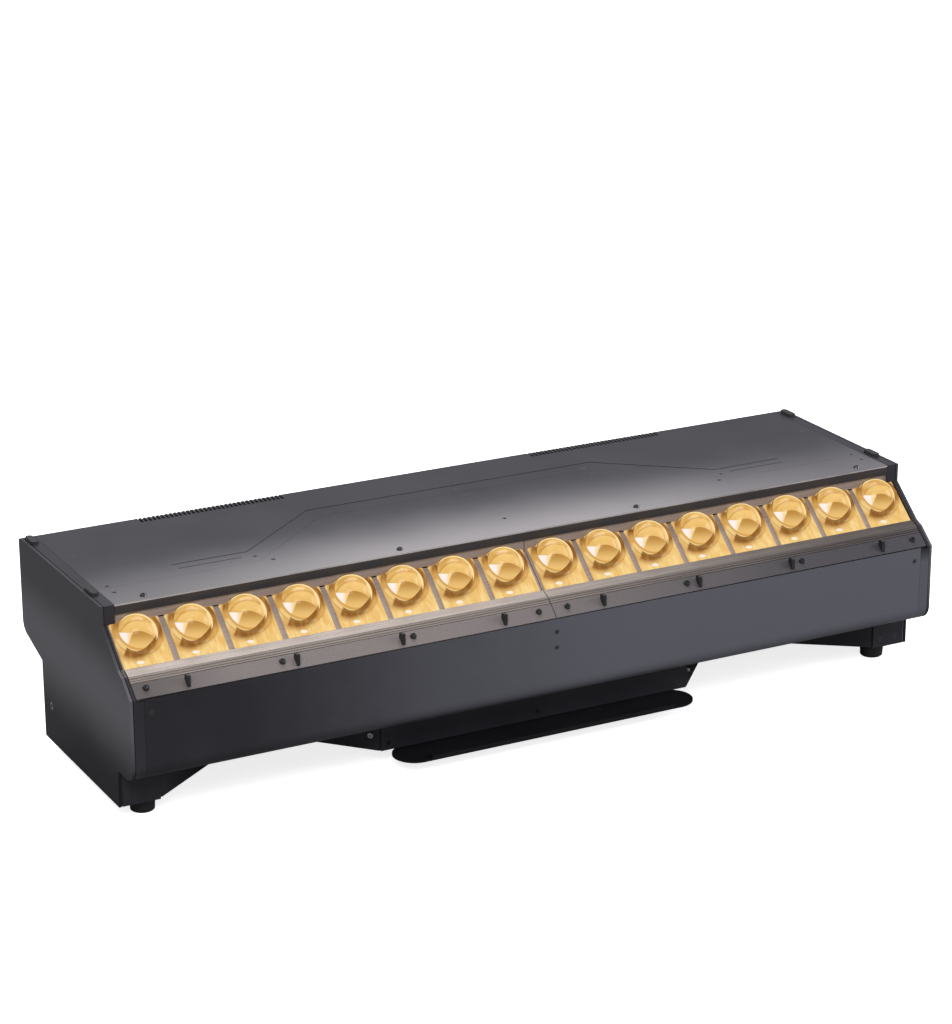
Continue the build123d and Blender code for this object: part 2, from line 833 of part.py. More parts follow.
# Flat plates that close the front of the centre box and of the two legs
with BuildPart() as centre_front_panel:
    panel_low = crossbar_top + 0.5
    with BuildSketch(front_plane(0, leg_front, (panel_low + nose_bottom) / 2)):
        Rectangle(2 * centre_half, nose_bottom - panel_low - touch)
    extrude(amount=-front_plate_thickness + touch)
    with BuildSketch(front_plane(0, leg_front, 0)):
        with Locations(*centre_spots):
            Circle(small_screw + screw_clearance)
    extrude(amount=-2 * sheet, mode=Mode.SUBTRACT)
    with BuildSketch(front_plane(0, leg_front, 0)):
        with Locations(*centre_spots):
            Circle(small_head + screw_clearance)
    extrude(amount=-sheet - 0.01, taper=44, mode=Mode.SUBTRACT)
save(centre_front_panel, "centre_front_panel")

for hand in (-1, 1):
    with BuildPart() as leg_plate:
        with BuildSketch(front_plane(0, leg_front, (body_bottom + nose_bottom) / 2)):
            with Locations((hand * (leg_inner + chassis_half) / 2, 0)):
                Rectangle(chassis_half - leg_inner, nose_bottom - body_bottom - touch)
        extrude(amount=-front_plate_thickness + touch)
        own_spots = [spot for spot in leg_spots if spot[0] * hand > 0]
        with BuildSketch(front_plane(0, leg_front, 0)):
            with Locations(*own_spots):
                Circle(small_screw + screw_clearance)
        extrude(amount=-2 * sheet, mode=Mode.SUBTRACT)
        with BuildSketch(front_plane(0, leg_front, 0)):
            with Locations(*own_spots):
                Circle(small_head + screw_clearance)
        extrude(amount=-sheet - 0.01, taper=44, mode=Mode.SUBTRACT)
    keep(leg_plate, "leg_plates")
save_kept("leg_plates")

# Rubber feet, each with a hole for the bolt that holds it
for spot in foot_spots:
    with BuildPart() as foot:
        with BuildSketch(Plane.XZ.offset(-spot[1])):
            with Locations((spot[0], 0)):
                Polygon(
                    (foot_bolt_radius + screw_clearance, 3),
                    (6, 3),
                    (6, 0),
                    (foot_radius - foot_taper - 1, 0),
                    (foot_radius - foot_taper, 1),
                    (foot_radius, foot_height - touch),
                    (foot_bolt_radius + screw_clearance, foot_height - touch),
                    align=None,
                )
        revolve(axis=Axis((spot[0], spot[1], 0), (0, 0, 1)))
    keep(foot, "rubber_feet")
save_kept("rubber_feet")

# Rubber pads on the top, two at each end
with BuildPart() as top_bumpers:
    with BuildSketch(Plane.XY.offset(body_top)):
        for hand in (-1, 1):
            for y in (bumper_front_y, bumper_rear_y):
                with Locations((hand * (half - bumper_width / 2 - 2.5), y)):
                    SlotOverall(bumper_length, bumper_width, rotation=90)
    extrude(amount=bumper_height, taper=12)
    fillet(top_bumpers.faces().sort_by(Axis.Z)[-4:].edges(), radius=0.8)
save(top_bumpers, "top_bumpers")

# Upright plate in the middle that joins the top, the front and the lower chassis
with BuildPart() as centre_bulkhead:
    with BuildSketch(section_at(-bulkhead_thickness / 2)):
        Polygon(
            (brow_front + 30, frame_top_inner - 2),
            (-25, frame_top_inner - 2),
            (-25, frame_top_inner - 4),
            (lower_back + 10, frame_top_inner - 4),
            (lower_back + 10, 125),
            (lower_back - 8, 110),
            (lower_back - 8, floor_top + 45),
            (bay_back, floor_top + 45),
            (body_front + sheet + touch, nose_bottom + nose_radius + 6),
            (body_front + sheet + touch, 144),
            on_face(lens_face_length + 2, sink_top),
            on_face(-2, sink_top),
            (brow_front + 16, 205),
            align=None,
        )
    extrude(amount=bulkhead_thickness)
    with BuildSketch(Plane.XY.offset(frame_top_inner - 2)):
        with Locations((0, -40)):
            Rectangle(22, 30)
    extrude(amount=2)
    with BuildSketch(front_plane(0, body_front + sheet + touch, 127)):
        Rectangle(22, 36)
    extrude(amount=-2)
    with BuildSketch(section_at(-20)):
        Polygon(
            (-105, floor_top + touch),
            (-103, floor_top + touch),
            (-103, 90),
            (-105, 90),
            align=None,
        )
    extrude(amount=40)
    with BuildSketch(Plane.XY.offset(frame_top_inner)):
        with Locations((0, -38.7)):
            Circle(small_screw + screw_clearance)
    extrude(amount=-4, mode=Mode.SUBTRACT)
    with BuildSketch(front_plane(0, body_front, 0)):
        with Locations(*[spot for spot in nose_spots if spot[0] == 0]):
            Circle(small_screw + screw_clearance)
    extrude(amount=-6, mode=Mode.SUBTRACT)
save(centre_bulkhead, "centre_bulkhead")

# Lens modules, one for each half of the lamp
lens_half = (cell_pitch - divider_width) / 2
dome_at_plate = (lens_dome_radius ** 2 - (lens_dome_depth - lens_plate_thickness) ** 2) ** 0.5
pocket_depth = 8
pocket_mouth = (lens_pocket_radius ** 2 - (pocket_depth - lens_plate_thickness) ** 2) ** 0.5
band_screws = [17.8 + place * band_screw_pitch for place in range(4)]
hook_places = (61.85, 185.6, 309, 433)
dome_relief = 0.4


def face_section(x):
    """A plane across one cell, its sketch axes along X and out of the lens face."""
    y, z = on_face(lens_dome_from_top, 0)
    return Plane(origin=(x, y, z), x_dir=(1, 0, 0), z_dir=(0, -outward[1], outward[0]))


def span(hand, near_x, far_x):
    """The plane where a run along one half starts, and the signed length of the run."""
    return section_at(hand * near_x), hand * (far_x - near_x)


for hand, side in ((-1, "left"), (1, "right")):
    cells = [cell_centre(hand, cell) for cell in range(cells_per_module)]
    dividers = [hand * cell_pitch * place for place in range(1, cells_per_module)]

    # Pressed frame that carries the lenses, the rail and the light boards
    start, run = span(hand, module_seam_half, module_outer)
    with BuildPart() as module_frame:
        with BuildSketch(start):
            Polygon(
                (band_y + frame_flange_depth, flange_top),
                (band_y, flange_top),
                on_face(band_meets, tray_top),
                on_face(band_meets, tray_under),
                (band_y + 2, on_face(0, tray_under)[1]),
                (band_y + 2, flange_top - 2),
                (band_y + frame_flange_depth, flange_top - 2),
                align=None,
            )
        extrude(amount=run)
        with BuildSketch(front_plane(0, band_y, brow_bottom - 1.6)):
            with Locations(*[(place, 0) for place in dividers]):
                Rectangle(divider_width, 2)
        extrude(amount=-3, mode=Mode.SUBTRACT)
        for cell in cells:
            y, z = on_face(lens_dome_from_top, -lens_dome_depth)
            with Locations((cell, y, z)):
                Sphere(lens_dome_radius + dome_relief, mode=Mode.SUBTRACT)
        with BuildSketch(start):
            Polygon(
                on_face(band_meets, tray_top),
                on_face(step_start, tray_top),
                on_face(step_start, step_top),
                on_face(step_end, step_top),
                on_face(step_end, step_top - tray_thickness),
                on_face(step_start + tray_thickness, step_top - tray_thickness),
                on_face(step_start + tray_thickness, tray_under),
                on_face(lens_face_length, tray_under),
                on_face(lens_face_length, board_under),
                on_face(lens_face_length - tray_leg, board_under),
                on_face(lens_face_length - tray_leg, tray_under),
                on_face(tray_leg, tray_under),
                on_face(tray_leg, board_under),
                on_face(0, board_under),
                on_face(band_meets, tray_under),
                align=None,
            )
        extrude(amount=run)
        for cell in cells:
            with BuildSketch(face_plane(cell, lens_dome_from_top, tray_top)):
                Circle(tray_window_radius)
            extrude(amount=-tray_thickness, mode=Mode.SUBTRACT)
        with BuildSketch(Plane.XY.offset(flange_top)):
            with Locations(*[spot for spot in brow_spots if spot[0] * hand > 0]):
                Circle(button_screw + screw_clearance)
        extrude(amount=-2, mode=Mode.SUBTRACT)
        for place in band_screws:
            with BuildSketch(lip_plane(hand * place, band_screw_at, 0)):
                Circle(button_screw + screw_clearance)
            extrude(amount=-band_thickness - 4, mode=Mode.SUBTRACT)
    save(module_frame, f"module_frame_{side}")

    # Moulded lenses, a square plate with a low skirt, a round dome and a hollow for the light source
    with BuildPart() as lens_set:
        for cell in cells:
            with BuildSketch(face_plane(cell, lens_face_length / 2, -lens_plate_thickness)):
                Rectangle(2 * lens_half, lens_face_length - seam)
            extrude(amount=lens_plate_thickness)
            with BuildSketch(face_plane(cell, lens_dome_from_top, 0)):
                Circle(lens_skirt_radius)
                with Locations((0, lens_dome_from_top - lens_face_length / 2)):
                    Rectangle(2 * lens_half, lens_face_length - 2 * seam, mode=Mode.INTERSECT)
            extrude(amount=lens_skirt_height, taper=24)
            with BuildSketch(face_section(cell)):
                with BuildLine():
                    top = (0, lens_dome_radius - lens_dome_depth)
                    knee = radians(45)
                    bend = (
                        lens_dome_radius * cos(knee),
                        lens_dome_radius * sin(knee) - lens_dome_depth,
                    )
                    foot_point = (dome_at_plate, -lens_plate_thickness)
                    mouth = (pocket_mouth, -lens_plate_thickness)
                    roof = (0, lens_pocket_radius - pocket_depth)
                    waist = (
                        lens_pocket_radius * cos(radians(60)),
                        lens_pocket_radius * sin(radians(60)) - pocket_depth,
                    )
                    ThreePointArc(top, bend, foot_point)
                    Line(foot_point, mouth)
                    ThreePointArc(mouth, waist, roof)
                    Line(roof, top)
                make_face()
            y, z = on_face(lens_dome_from_top, 0)
            dome_axis = Axis((cell, y, z), (0, outward[0], outward[1]))
            revolve(axis=dome_axis)
            with BuildSketch(face_section(cell)):
                with BuildLine():
                    ThreePointArc(mouth, waist, roof)
                    Line(roof, (0, -lens_plate_thickness))
                    Line((0, -lens_plate_thickness), mouth)
                make_face()
            revolve(axis=dome_axis, mode=Mode.SUBTRACT)
    save(lens_set, f"lens_set_{side}")

    # Thin strips that cover the joints between the lens plates
    with BuildPart() as divider_strips:
        for place in dividers:
            with BuildSketch(face_plane(place, (lens_face_length + 3) / 2, -lens_plate_thickness)):
                Rectangle(divider_width - 2 * screw_clearance, lens_face_length - 3)
            extrude(amount=divider_thickness)
        with BuildSketch(face_plane(hand * 2.15, (lens_face_length + 3) / 2, -lens_plate_thickness)):
            Rectangle(3.1, lens_face_length - 3)
        extrude(amount=divider_thickness)
    keep(divider_strips, "divider_strips")

    # Grooved rail along the foot of the lenses
    with BuildPart() as filter_rail:
        with BuildSketch(start):
            Polygon(
                on_face(lens_face_length + touch, -lens_plate_thickness),
                on_face(lens_face_length + touch, 0),
                on_face(lip_start, lip_rise),
                on_face(rail_end, lip_rise),
                on_face(rail_end, -lens_plate_thickness),
                align=None,
            )
            for place in (2.8, 5.6):
                Polygon(
                    on_lip(place, 1),
                    on_lip(place + rail_groove_width, 1),
                    on_lip(place + rail_groove_width, -rail_groove_depth),
                    on_lip(place, -rail_groove_depth),
                    align=None,
                    mode=Mode.SUBTRACT,
                )
        extrude(amount=run)
    keep(filter_rail, "filter_rails")

    # Band under the rail, held with button screws
    with BuildPart() as filter_band:
        with BuildSketch(start):
            Polygon(
                on_lip(band_start, 0),
                on_lip(band_end, 0),
                on_lip(band_end, -band_thickness),
                on_lip(band_start, -band_thickness),
                align=None,
            )
        extrude(amount=run)
        for place in band_screws:
            with BuildSketch(lip_plane(hand * place, band_screw_at, 0)):
                Circle(button_screw + screw_clearance)
            extrude(amount=-band_thickness, mode=Mode.SUBTRACT)
    keep(filter_band, "filter_bands")

    # Light board and its emitters, four under each lens
    board_start, board_run = span(hand, sink_inner + touch, module_outer - 1)
    with BuildPart() as led_board:
        with BuildSketch(board_start):
            Polygon(
                on_face(tray_leg + touch, board_top),
                on_face(lens_face_length - tray_leg - touch, board_top),
                on_face(lens_face_length - tray_leg - touch, board_under),
                on_face(tray_leg + touch, board_under),
                align=None,
            )
        extrude(amount=board_run)
    keep(led_board, "led_boards")

    # Finned heat sink behind the light board
    sink_start, sink_run = span(hand, sink_inner, sink_outer)
    with BuildPart() as heat_sink:
        with BuildSketch(sink_start):
            Polygon(
                on_face(-2, sink_top),
                on_face(lens_face_length + 2, sink_top),
                on_face(lens_face_length + 2, sink_under),
                on_face(-2, sink_under),
                align=None,
            )
        extrude(amount=sink_run)
        fin_count = int((sink_outer - sink_inner - fin_thickness) // fin_pitch)
        for fin in range(fin_count + 1):
            fin_x = sink_inner + fin * fin_pitch
            with BuildSketch(section_at(hand * fin_x)):
                Polygon(
                    on_face(-2, sink_under + 1),
                    on_face(lens_face_length + 2, sink_under + 1),
                    on_face(lens_face_length + 2, fin_under),
                    on_face(-2, fin_under),
                    align=None,
                )
            extrude(amount=hand * fin_thickness)
    keep(heat_sink, "heat_sinks")

for label in ("divider_strips", "filter_rails", "filter_bands", "led_boards", "heat_sinks"):
    save_kept(label)

# Light sources of every cell
with BuildPart() as led_emitters:
    for hand in (-1, 1):
        for cell in range(cells_per_module):
            x = cell_centre(hand, cell)
            with BuildSketch(face_plane(x, lens_dome_from_top, board_top)):
                with GridLocations(emitter_spread, emitter_spread, 2, 2):
                    Rectangle(emitter_size, emitter_size)
            extrude(amount=emitter_height)
save(led_emitters, "led_emitters")

# Upright tabs on the band that keep a filter frame in place
with BuildPart() as filter_hooks:
    for hand in (-1, 1):
        for place in hook_places:
            y, z = on_lip(hook_at, touch)
            with BuildSketch(section_at(hand * place - hook_width / 2)) as tab_sketch:
                Polygon(
                    (y, z),
                    (y, z + hook_height),
                    (y + hook_depth, z + hook_height),
                    (y + hook_depth, z + hook_depth * tan(radians(slope_angle))),
                    align=None,
                )
                fillet(near(tab_sketch.vertices(), y, z + hook_height), radius=1.5)
                fillet(near(tab_sketch.vertices(), y + hook_depth, z + hook_height), radius=4)
            extrude(amount=hook_width)
save(filter_hooks, "filter_hooks")

# Planes that the flush screws are driven into
top_face = Plane.XY.offset(body_top - 0.05)
nose_face = front_plane(0, body_front + 0.05, 0)
leg_face = front_plane(0, leg_front + 0.05, 0)
under_face = Plane(origin=(0, 0, nose_bottom + 0.05), x_dir=(1, 0, 0), z_dir=(0, 0, -1))
back_face = back_plane(0, body_back - 0.05, 0)
bar_face = Plane.XY.offset(crossbar_top - 0.05)

# Flush screws of the covers and plates
screw_groups = (
    (top_face, top_spots),
    (nose_face, nose_spots),
    (leg_face, centre_spots + leg_spots),
    (under_face, [(x, -y) for x, y in flange_spots]),
    (back_face, [(-x, z) for x, z in cover_back_spots]),
)
with BuildPart() as cover_screws:
    for plane, spots in screw_groups:
        with BuildSketch(plane):
            with Locations(*spots):
                Circle(small_screw)
        extrude(amount=-small_length)
        with BuildSketch(plane):
            with Locations(*spots):
                Circle(small_head)
        extrude(amount=-1.2, taper=44)
        with BuildSketch(plane):
            with Locations(*spots):
                RegularPolygon(1, 6)
        extrude(amount=-0.9, mode=Mode.SUBTRACT)
save(cover_screws, "cover_screws")

# Button-headed screws of the lens modules
with BuildPart() as button_screws:
    button_planes = [Plane(origin=(x, y, body_top), z_dir=(0, 0, 1)) for x, y in brow_spots]
    for hand in (-1, 1):
        button_planes.extend(lip_plane(hand * place, band_screw_at, 0) for place in band_screws)
    for plane in button_planes:
        with BuildSketch(plane):
            Circle(button_screw)
        extrude(amount=-button_length)
        with BuildSketch(plane.offset(0.05)):
            Circle(button_head)
        extrude(amount=button_head_height, taper=22)
        with BuildSketch(plane.offset(0.05 + button_head_height)):
            RegularPolygon(button_socket, 6)
        extrude(amount=-1.4, mode=Mode.SUBTRACT)
save(button_screws, "button_screws")

# Bright bolts in the slanting walls of the centre box
with BuildPart() as wall_bolts:
    for hand in (-1, 1):
        wall_plane = centre_wall(hand, bolt_depth, bolt_z)
        with BuildSketch(wall_plane):
            Circle(button_screw)
        extrude(amount=-button_length)
        with BuildSketch(wall_plane.offset(0.05)):
            Circle(button_head)
        extrude(amount=button_head_height, taper=15)
        with BuildSketch(wall_plane.offset(0.05 + button_head_height)):
            RegularPolygon(button_socket, 6)
        extrude(amount=-1.4, mode=Mode.SUBTRACT)
save(wall_bolts, "wall_bolts")

# Bolts in the floor: with nuts for the feet, and from inside for the hinge blocks
with BuildPart() as floor_bolts:
    for spot in foot_spots:
        with BuildSketch(Plane.XY.offset(0.7)):
            with Locations(spot):
                Circle(4.6)
        extrude(amount=2.2)
        with BuildSketch(Plane.XY.offset(0.7)):
            with Locations(spot):
                RegularPolygon(2, 6)
        extrude(amount=1.4, mode=Mode.SUBTRACT)
        with BuildSketch(Plane.XY.offset(2.9)):
            with Locations(spot):
                Circle(foot_bolt_radius)
        extrude(amount=floor_top + 5 - 2.9)
        with BuildSketch(Plane.XY.offset(floor_top + 0.05)):
            with Locations(spot):
                RegularPolygon(4.6, 6)
        extrude(amount=4)
    for spot in hinge_spots:
        with BuildSketch(Plane.XY.offset(floor_bottom - 3.8)):
            with Locations(spot):
                Circle(foot_bolt_radius)
        extrude(amount=floor_top + 0.05 - floor_bottom + 3.8)
        with BuildSketch(Plane.XY.offset(floor_top + 0.05)):
            with Locations(spot):
                Circle(4.2)
        extrude(amount=3)
        with BuildSketch(Plane.XY.offset(floor_top + 3.05)):
            with Locations(spot):
                RegularPolygon(2, 6)
        extrude(amount=-1.6, mode=Mode.SUBTRACT)
save(floor_bolts, "floor_bolts")

# Hinge blocks under the floor, one inside each bracket arm
block_low = 5
with BuildPart() as hinge_blocks:
    for hand in (-1, 1):
        with BuildSketch(section_at(hand * bracket_arm_x - hinge_half)) as block_sketch:
            with Locations((pivot_y, (block_low + floor_bottom) / 2 - touch / 4)):
                Rectangle(12, floor_bottom - block_low - touch / 2)
            fillet(block_sketch.vertices().group_by(Axis.Y)[0], radius=3)
            with Locations((pivot_y, pivot_z)):
                Circle(pivot_radius + running, mode=Mode.SUBTRACT)
        extrude(amount=2 * hinge_half)
    with BuildSketch(Plane.XY.offset(floor_bottom)):
        with Locations(*hinge_spots):
            Circle(foot_bolt_radius + screw_clearance)
    extrude(amount=-4.2, mode=Mode.SUBTRACT)
save(hinge_blocks, "hinge_blocks")

# Hanging bracket: two arms of folded channel
arm_top = crossbar_bottom - screw_clearance
arm_front = crossbar_front + 8
web_back = pivot_y - 11
for hand, label in ((-1, "bracket_arm_left"), (1, "bracket_arm_right")):
    with BuildPart() as bracket_arm:
        with BuildSketch(section_at(hand * bracket_arm_x - arm_width / 2)) as arm_sketch:
            Polygon(
                (arm_front, arm_top),
                (arm_front, arm_top - arm_wall - 1),
                (arm_front + 34, arm_bottom),
                (pivot_y, arm_bottom),
                (pivot_y, arm_top),
                align=None,
            )
            with Locations((pivot_y, (arm_bottom + arm_top) / 2)):
                Circle((arm_top - arm_bottom) / 2)
            fillet(near(arm_sketch.vertices(), arm_front + 34, arm_bottom), radius=8)
            with Locations((pivot_y, pivot_z)):
                Circle(pivot_radius + running, mode=Mode.SUBTRACT)
        extrude(amount=arm_width)
        with BuildSketch(section_at(hand * bracket_arm_x - arm_width / 2 + arm_wall)):
            Polygon(
                (arm_front - 1, arm_bottom - 1),
                (pivot_y + 10, arm_bottom - 1),
                (pivot_y + 10, arm_top + 1),
                (web_back, arm_top + 1),
                (web_back, arm_top - arm_wall),
                (arm_front - 1, arm_top - arm_wall),
                align=None,
            )
        extrude(amount=arm_width - 2 * arm_wall, mode=Mode.SUBTRACT)
        with BuildSketch(Plane.XY.offset(arm_top)):
            with Locations((hand * bracket_arm_x, clamp_hole_y)):
                Circle(clamp_hole_radius)
            with Locations((hand * bracket_arm_x, bracket_screw_y)):
                Circle(small_screw + screw_clearance)
        extrude(amount=-arm_wall, mode=Mode.SUBTRACT)
    save(bracket_arm, label)

# Pivot pins that run in the hinge blocks and are held by the arms
with BuildPart() as pivot_pins:
    for hand in (-1, 1):
        with BuildSketch(section_at(hand * bracket_arm_x - arm_width / 2 - 0.1)):
            with Locations((pivot_y, pivot_z)):
                Circle(pivot_radius)
        extrude(amount=arm_width + 0.2)
        for side in (-1, 1):
            with BuildSketch(section_at(hand * bracket_arm_x + side * (arm_width / 2 + 0.1))):
                with Locations((pivot_y, pivot_z)):
                    Circle(pivot_head_radius - 0.3)
            extrude(amount=side * pivot_head_height, taper=8)
save(pivot_pins, "pivot_pins")

# Crossbar of the bracket, a flat bar with round ends and a hemmed front edge
with BuildPart() as crossbar:
    with BuildSketch(Plane.XY.offset(crossbar_bottom)):
        with Locations((0, crossbar_front + crossbar_width / 2)):
            SlotOverall(2 * crossbar_half, crossbar_width)
        with Locations(*crossbar_spots):
            Circle(small_screw + screw_clearance, mode=Mode.SUBTRACT)
    extrude(amount=crossbar_thickness)
    with BuildSketch(section_at(-hem_half)):
        hem_top = crossbar_top + hem_gap + crossbar_thickness
        Polygon(
            (crossbar_front, crossbar_bottom),
            (crossbar_front + crossbar_thickness, crossbar_bottom),
            (crossbar_front + crossbar_thickness, hem_top - crossbar_thickness),
            (crossbar_front + hem_width, hem_top - crossbar_thickness),
            (crossbar_front + hem_width, hem_top),
            (crossbar_front, hem_top),
            align=None,
        )
    extrude(amount=2 * hem_half)
    with BuildSketch(bar_face):
        with Locations(*crossbar_spots):
            Circle(small_head + screw_clearance)
    extrude(amount=-sheet, taper=44, mode=Mode.SUBTRACT)
save(crossbar, "crossbar")

# Flush screws of the bracket
with BuildPart() as bracket_screws:
    with BuildSketch(bar_face):
        with Locations(*crossbar_spots):
            Circle(small_screw)
    extrude(amount=-small_length)
    with BuildSketch(bar_face):
        with Locations(*crossbar_spots):
            Circle(small_head)
    extrude(amount=-1.2, taper=44)
    with BuildSketch(bar_face):
        with Locations(*crossbar_spots):
            RegularPolygon(1, 6)
    extrude(amount=-0.9, mode=Mode.SUBTRACT)
save(bracket_screws, "bracket_screws")

# Cooling fans against the back wall, the left pair first
fan_back = lip_inner - 0.3
fan_bush = 4
fan_cup = 12.5
for number, fan_x in enumerate(fan_places, start=1):
    fan_centre = back_plane(fan_x, fan_back, fan_z)
    with BuildPart() as fan_frame:
        with BuildSketch(fan_centre):
            RectangleRounded(fan_size, fan_size, 4)
            Circle(fan_bore, mode=Mode.SUBTRACT)
            with GridLocations(71.5, 71.5, 2, 2):
                Circle(2.2, mode=Mode.SUBTRACT)
        extrude(amount=-fan_depth)
        with BuildSketch(fan_centre):
            Circle(hub_radius)
            for turn in (45, 135):
                Rectangle(2 * fan_bore + 1, strut_width, rotation=turn)
        extrude(amount=-hub_plate)
        with BuildSketch(fan_centre.offset(-hub_plate)):
            Circle(fan_bush)
        extrude(amount=-fan_pin_length - 1)
        with BuildSketch(fan_centre.offset(-hub_plate)):
            Circle(fan_pin + running)
        extrude(amount=-fan_pin_length - 1, mode=Mode.SUBTRACT)
    keep(fan_frame, "fan_frames")

    rotor_back = fan_centre.offset(-hub_plate - 0.6)
    rotor_depth = fan_depth - hub_plate - 1.6
    blade_y = fan_back - hub_plate - 0.6 - rotor_depth / 2
    with BuildPart() as fan_rotor:
        with BuildSketch(rotor_back):
            Circle(hub_radius)
        extrude(amount=-rotor_depth)
        with BuildSketch(rotor_back):
            Circle(fan_cup)
        extrude(amount=-rotor_depth + 3, mode=Mode.SUBTRACT)
        with BuildSketch(rotor_back.offset(-0.6)):
            Circle(fan_pin)
        extrude(amount=-rotor_depth + 2)
        for blade in range(blade_count):
            turn = radians(360 / blade_count * blade)
            root = hub_radius - 0.8
            spoke = Plane(
                origin=(fan_x + root * cos(turn), blade_y, fan_z + root * sin(turn)),
                x_dir=(0, 1, 0),
                z_dir=(cos(turn), 0, sin(turn)),
            )
            with BuildSketch(spoke):
                Rectangle(2, 20, rotation=52)
            extrude(amount=blade_tip - hub_radius)
    save(fan_rotor, f"fan_rotor_{number}")
save_kept("fan_frames")

# Power supply in the middle of the lower chassis
supply_half = 122
supply_y = 54
supply_height = 34
with BuildPart() as power_supply:
    with BuildSketch(Plane.XY.offset(floor_top + touch)):
        with Locations((0, supply_y)):
            RectangleRounded(2 * supply_half, 84, 2)
    extrude(amount=supply_height)
    with BuildSketch(Plane.XY.offset(floor_top + touch + supply_height)):
        with Locations((0, supply_y)):
            with GridLocations(9, 60, 22, 1):
                SlotOverall(50, 3, rotation=90)
    extrude(amount=-1.5, mode=Mode.SUBTRACT)
    for hand in (-1, 1):
        with BuildSketch(section_at(hand * supply_half)):
            with Locations((supply_y, floor_top + 12)):
                Rectangle(64, 16)
        extrude(amount=hand * 9)
save(power_supply, "power_supply")

# Driver boards above the floor of the lower chassis, one for each module
driver_x = 415
driver_y = 34
driver_level = floor_top + 8
for hand in (-1, 1):
    with BuildPart() as driver_board:
        with BuildSketch(Plane.XY.offset(driver_level)):
            with Locations((hand * driver_x, driver_y)):
                Rectangle(140, 96)
        extrude(amount=board_thickness)
        with BuildSketch(Plane.XY.offset(floor_top + touch)):
            with Locations((hand * driver_x, driver_y)):
                with GridLocations(128, 84, 2, 2):
                    Circle(3)
        extrude(amount=driver_level - floor_top - touch)
        with BuildSketch(Plane.XY.offset(driver_level + board_thickness)):
            with Locations((hand * driver_x, driver_y + 22)):
                with GridLocations(26, 0, 5, 1):
                    Circle(8)
        extrude(amount=20)
        with BuildSketch(Plane.XY.offset(driver_level + board_thickness)):
            with Locations((hand * driver_x, driver_y - 6)):
                with GridLocations(30, 0, 4, 1):
                    Rectangle(16, 16)
        extrude(amount=12)
        with BuildSketch(Plane.XY.offset(driver_level + board_thickness)):
            with Locations((hand * driver_x, driver_y - 36)):
                with GridLocations(36, 0, 3, 1):
                    Rectangle(24, 9)
        extrude(amount=9)
    keep(driver_board, "driver_boards")
save_kept("driver_boards")

# Control panel seen through a window in the upper back wall
panel_plate = 2
panel_back = back_inner - touch
panel_front = panel_back - panel_plate
panel_face = back_plane(panel_x, panel_back, panel_z)
button_spots = [
    (button_offset + (place - (button_count - 1) / 2) * button_pitch, 0) for place in range(button_count)
]
control_board_back = 141.6
with BuildPart() as control_panel:
    with BuildSketch(panel_face):
        Rectangle(panel_width, panel_height)
        with Locations((window_offset, 0)):
            RectangleRounded(window_width, window_height, 2, mode=Mode.SUBTRACT)
        with Locations(*button_spots):
            Circle(button_radius + running, mode=Mode.SUBTRACT)
    extrude(amount=-panel_plate)
save(control_panel, "control_panel")

# Circuit board of the controls, with its spacers and the switches under the buttons
flange_gap = 0.4
button_flange_radius = 4.9
button_back = panel_front - flange_gap - button_flange - 2.5
with BuildPart() as control_board:
    with BuildSketch(back_plane(panel_x, control_board_back, panel_z)):
        Rectangle(panel_width - 8, panel_height - 6)
    extrude(amount=-board_thickness)
    with BuildSketch(back_plane(panel_x, control_board_back, panel_z)):
        with GridLocations(panel_width - 18, panel_height - 14, 2, 2):
            Circle(2.6)
    extrude(amount=panel_front - touch - control_board_back)
    with BuildSketch(back_plane(panel_x, control_board_back, panel_z)):
        with Locations(*button_spots):
            Rectangle(6, 6)
    extrude(amount=button_back - button_travel - 0.4 - control_board_back)
    with BuildSketch(back_plane(panel_x, control_board_back - board_thickness, panel_z)):
        with GridLocations(34, 22, 3, 2):
            Rectangle(12, 10)
    extrude(amount=-3)
save(control_board, "control_board")

# Display module behind the window
with BuildPart() as display:
    with BuildSketch(back_plane(panel_x, control_board_back + touch, panel_z)):
        with Locations((window_offset, 0)):
            Rectangle(window_width + 6, window_height + 6)
    extrude(amount=panel_front - touch - control_board_back - touch)
    with BuildSketch(back_plane(panel_x, panel_front - touch, panel_z)):
        with Locations((window_offset, 0)):
            Rectangle(window_width - 2, window_height - 2)
    extrude(amount=1)
save(display, "display")

# Push buttons, each with a collar that keeps it behind the panel
for number, spot in enumerate(button_spots, start=1):
    with BuildPart() as push_button:
        with BuildSketch(back_plane(panel_x, panel_back + button_proud, panel_z)):
            with Locations(spot):
                Circle(button_radius)
        extrude(amount=-button_proud - panel_plate - flange_gap - 0.2)
        fillet(push_button.faces().sort_by(Axis.Y)[-1].edges(), radius=0.6)
        with BuildSketch(back_plane(panel_x, panel_front - flange_gap, panel_z)):
            with Locations(spot):
                Circle(button_flange_radius)
        extrude(amount=-button_flange)
        with BuildSketch(back_plane(panel_x, panel_front - flange_gap - button_flange, panel_z)):
            with Locations(spot):
                Circle(2)
        extrude(amount=-2.5)
    save(push_button, f"push_button_{number}")

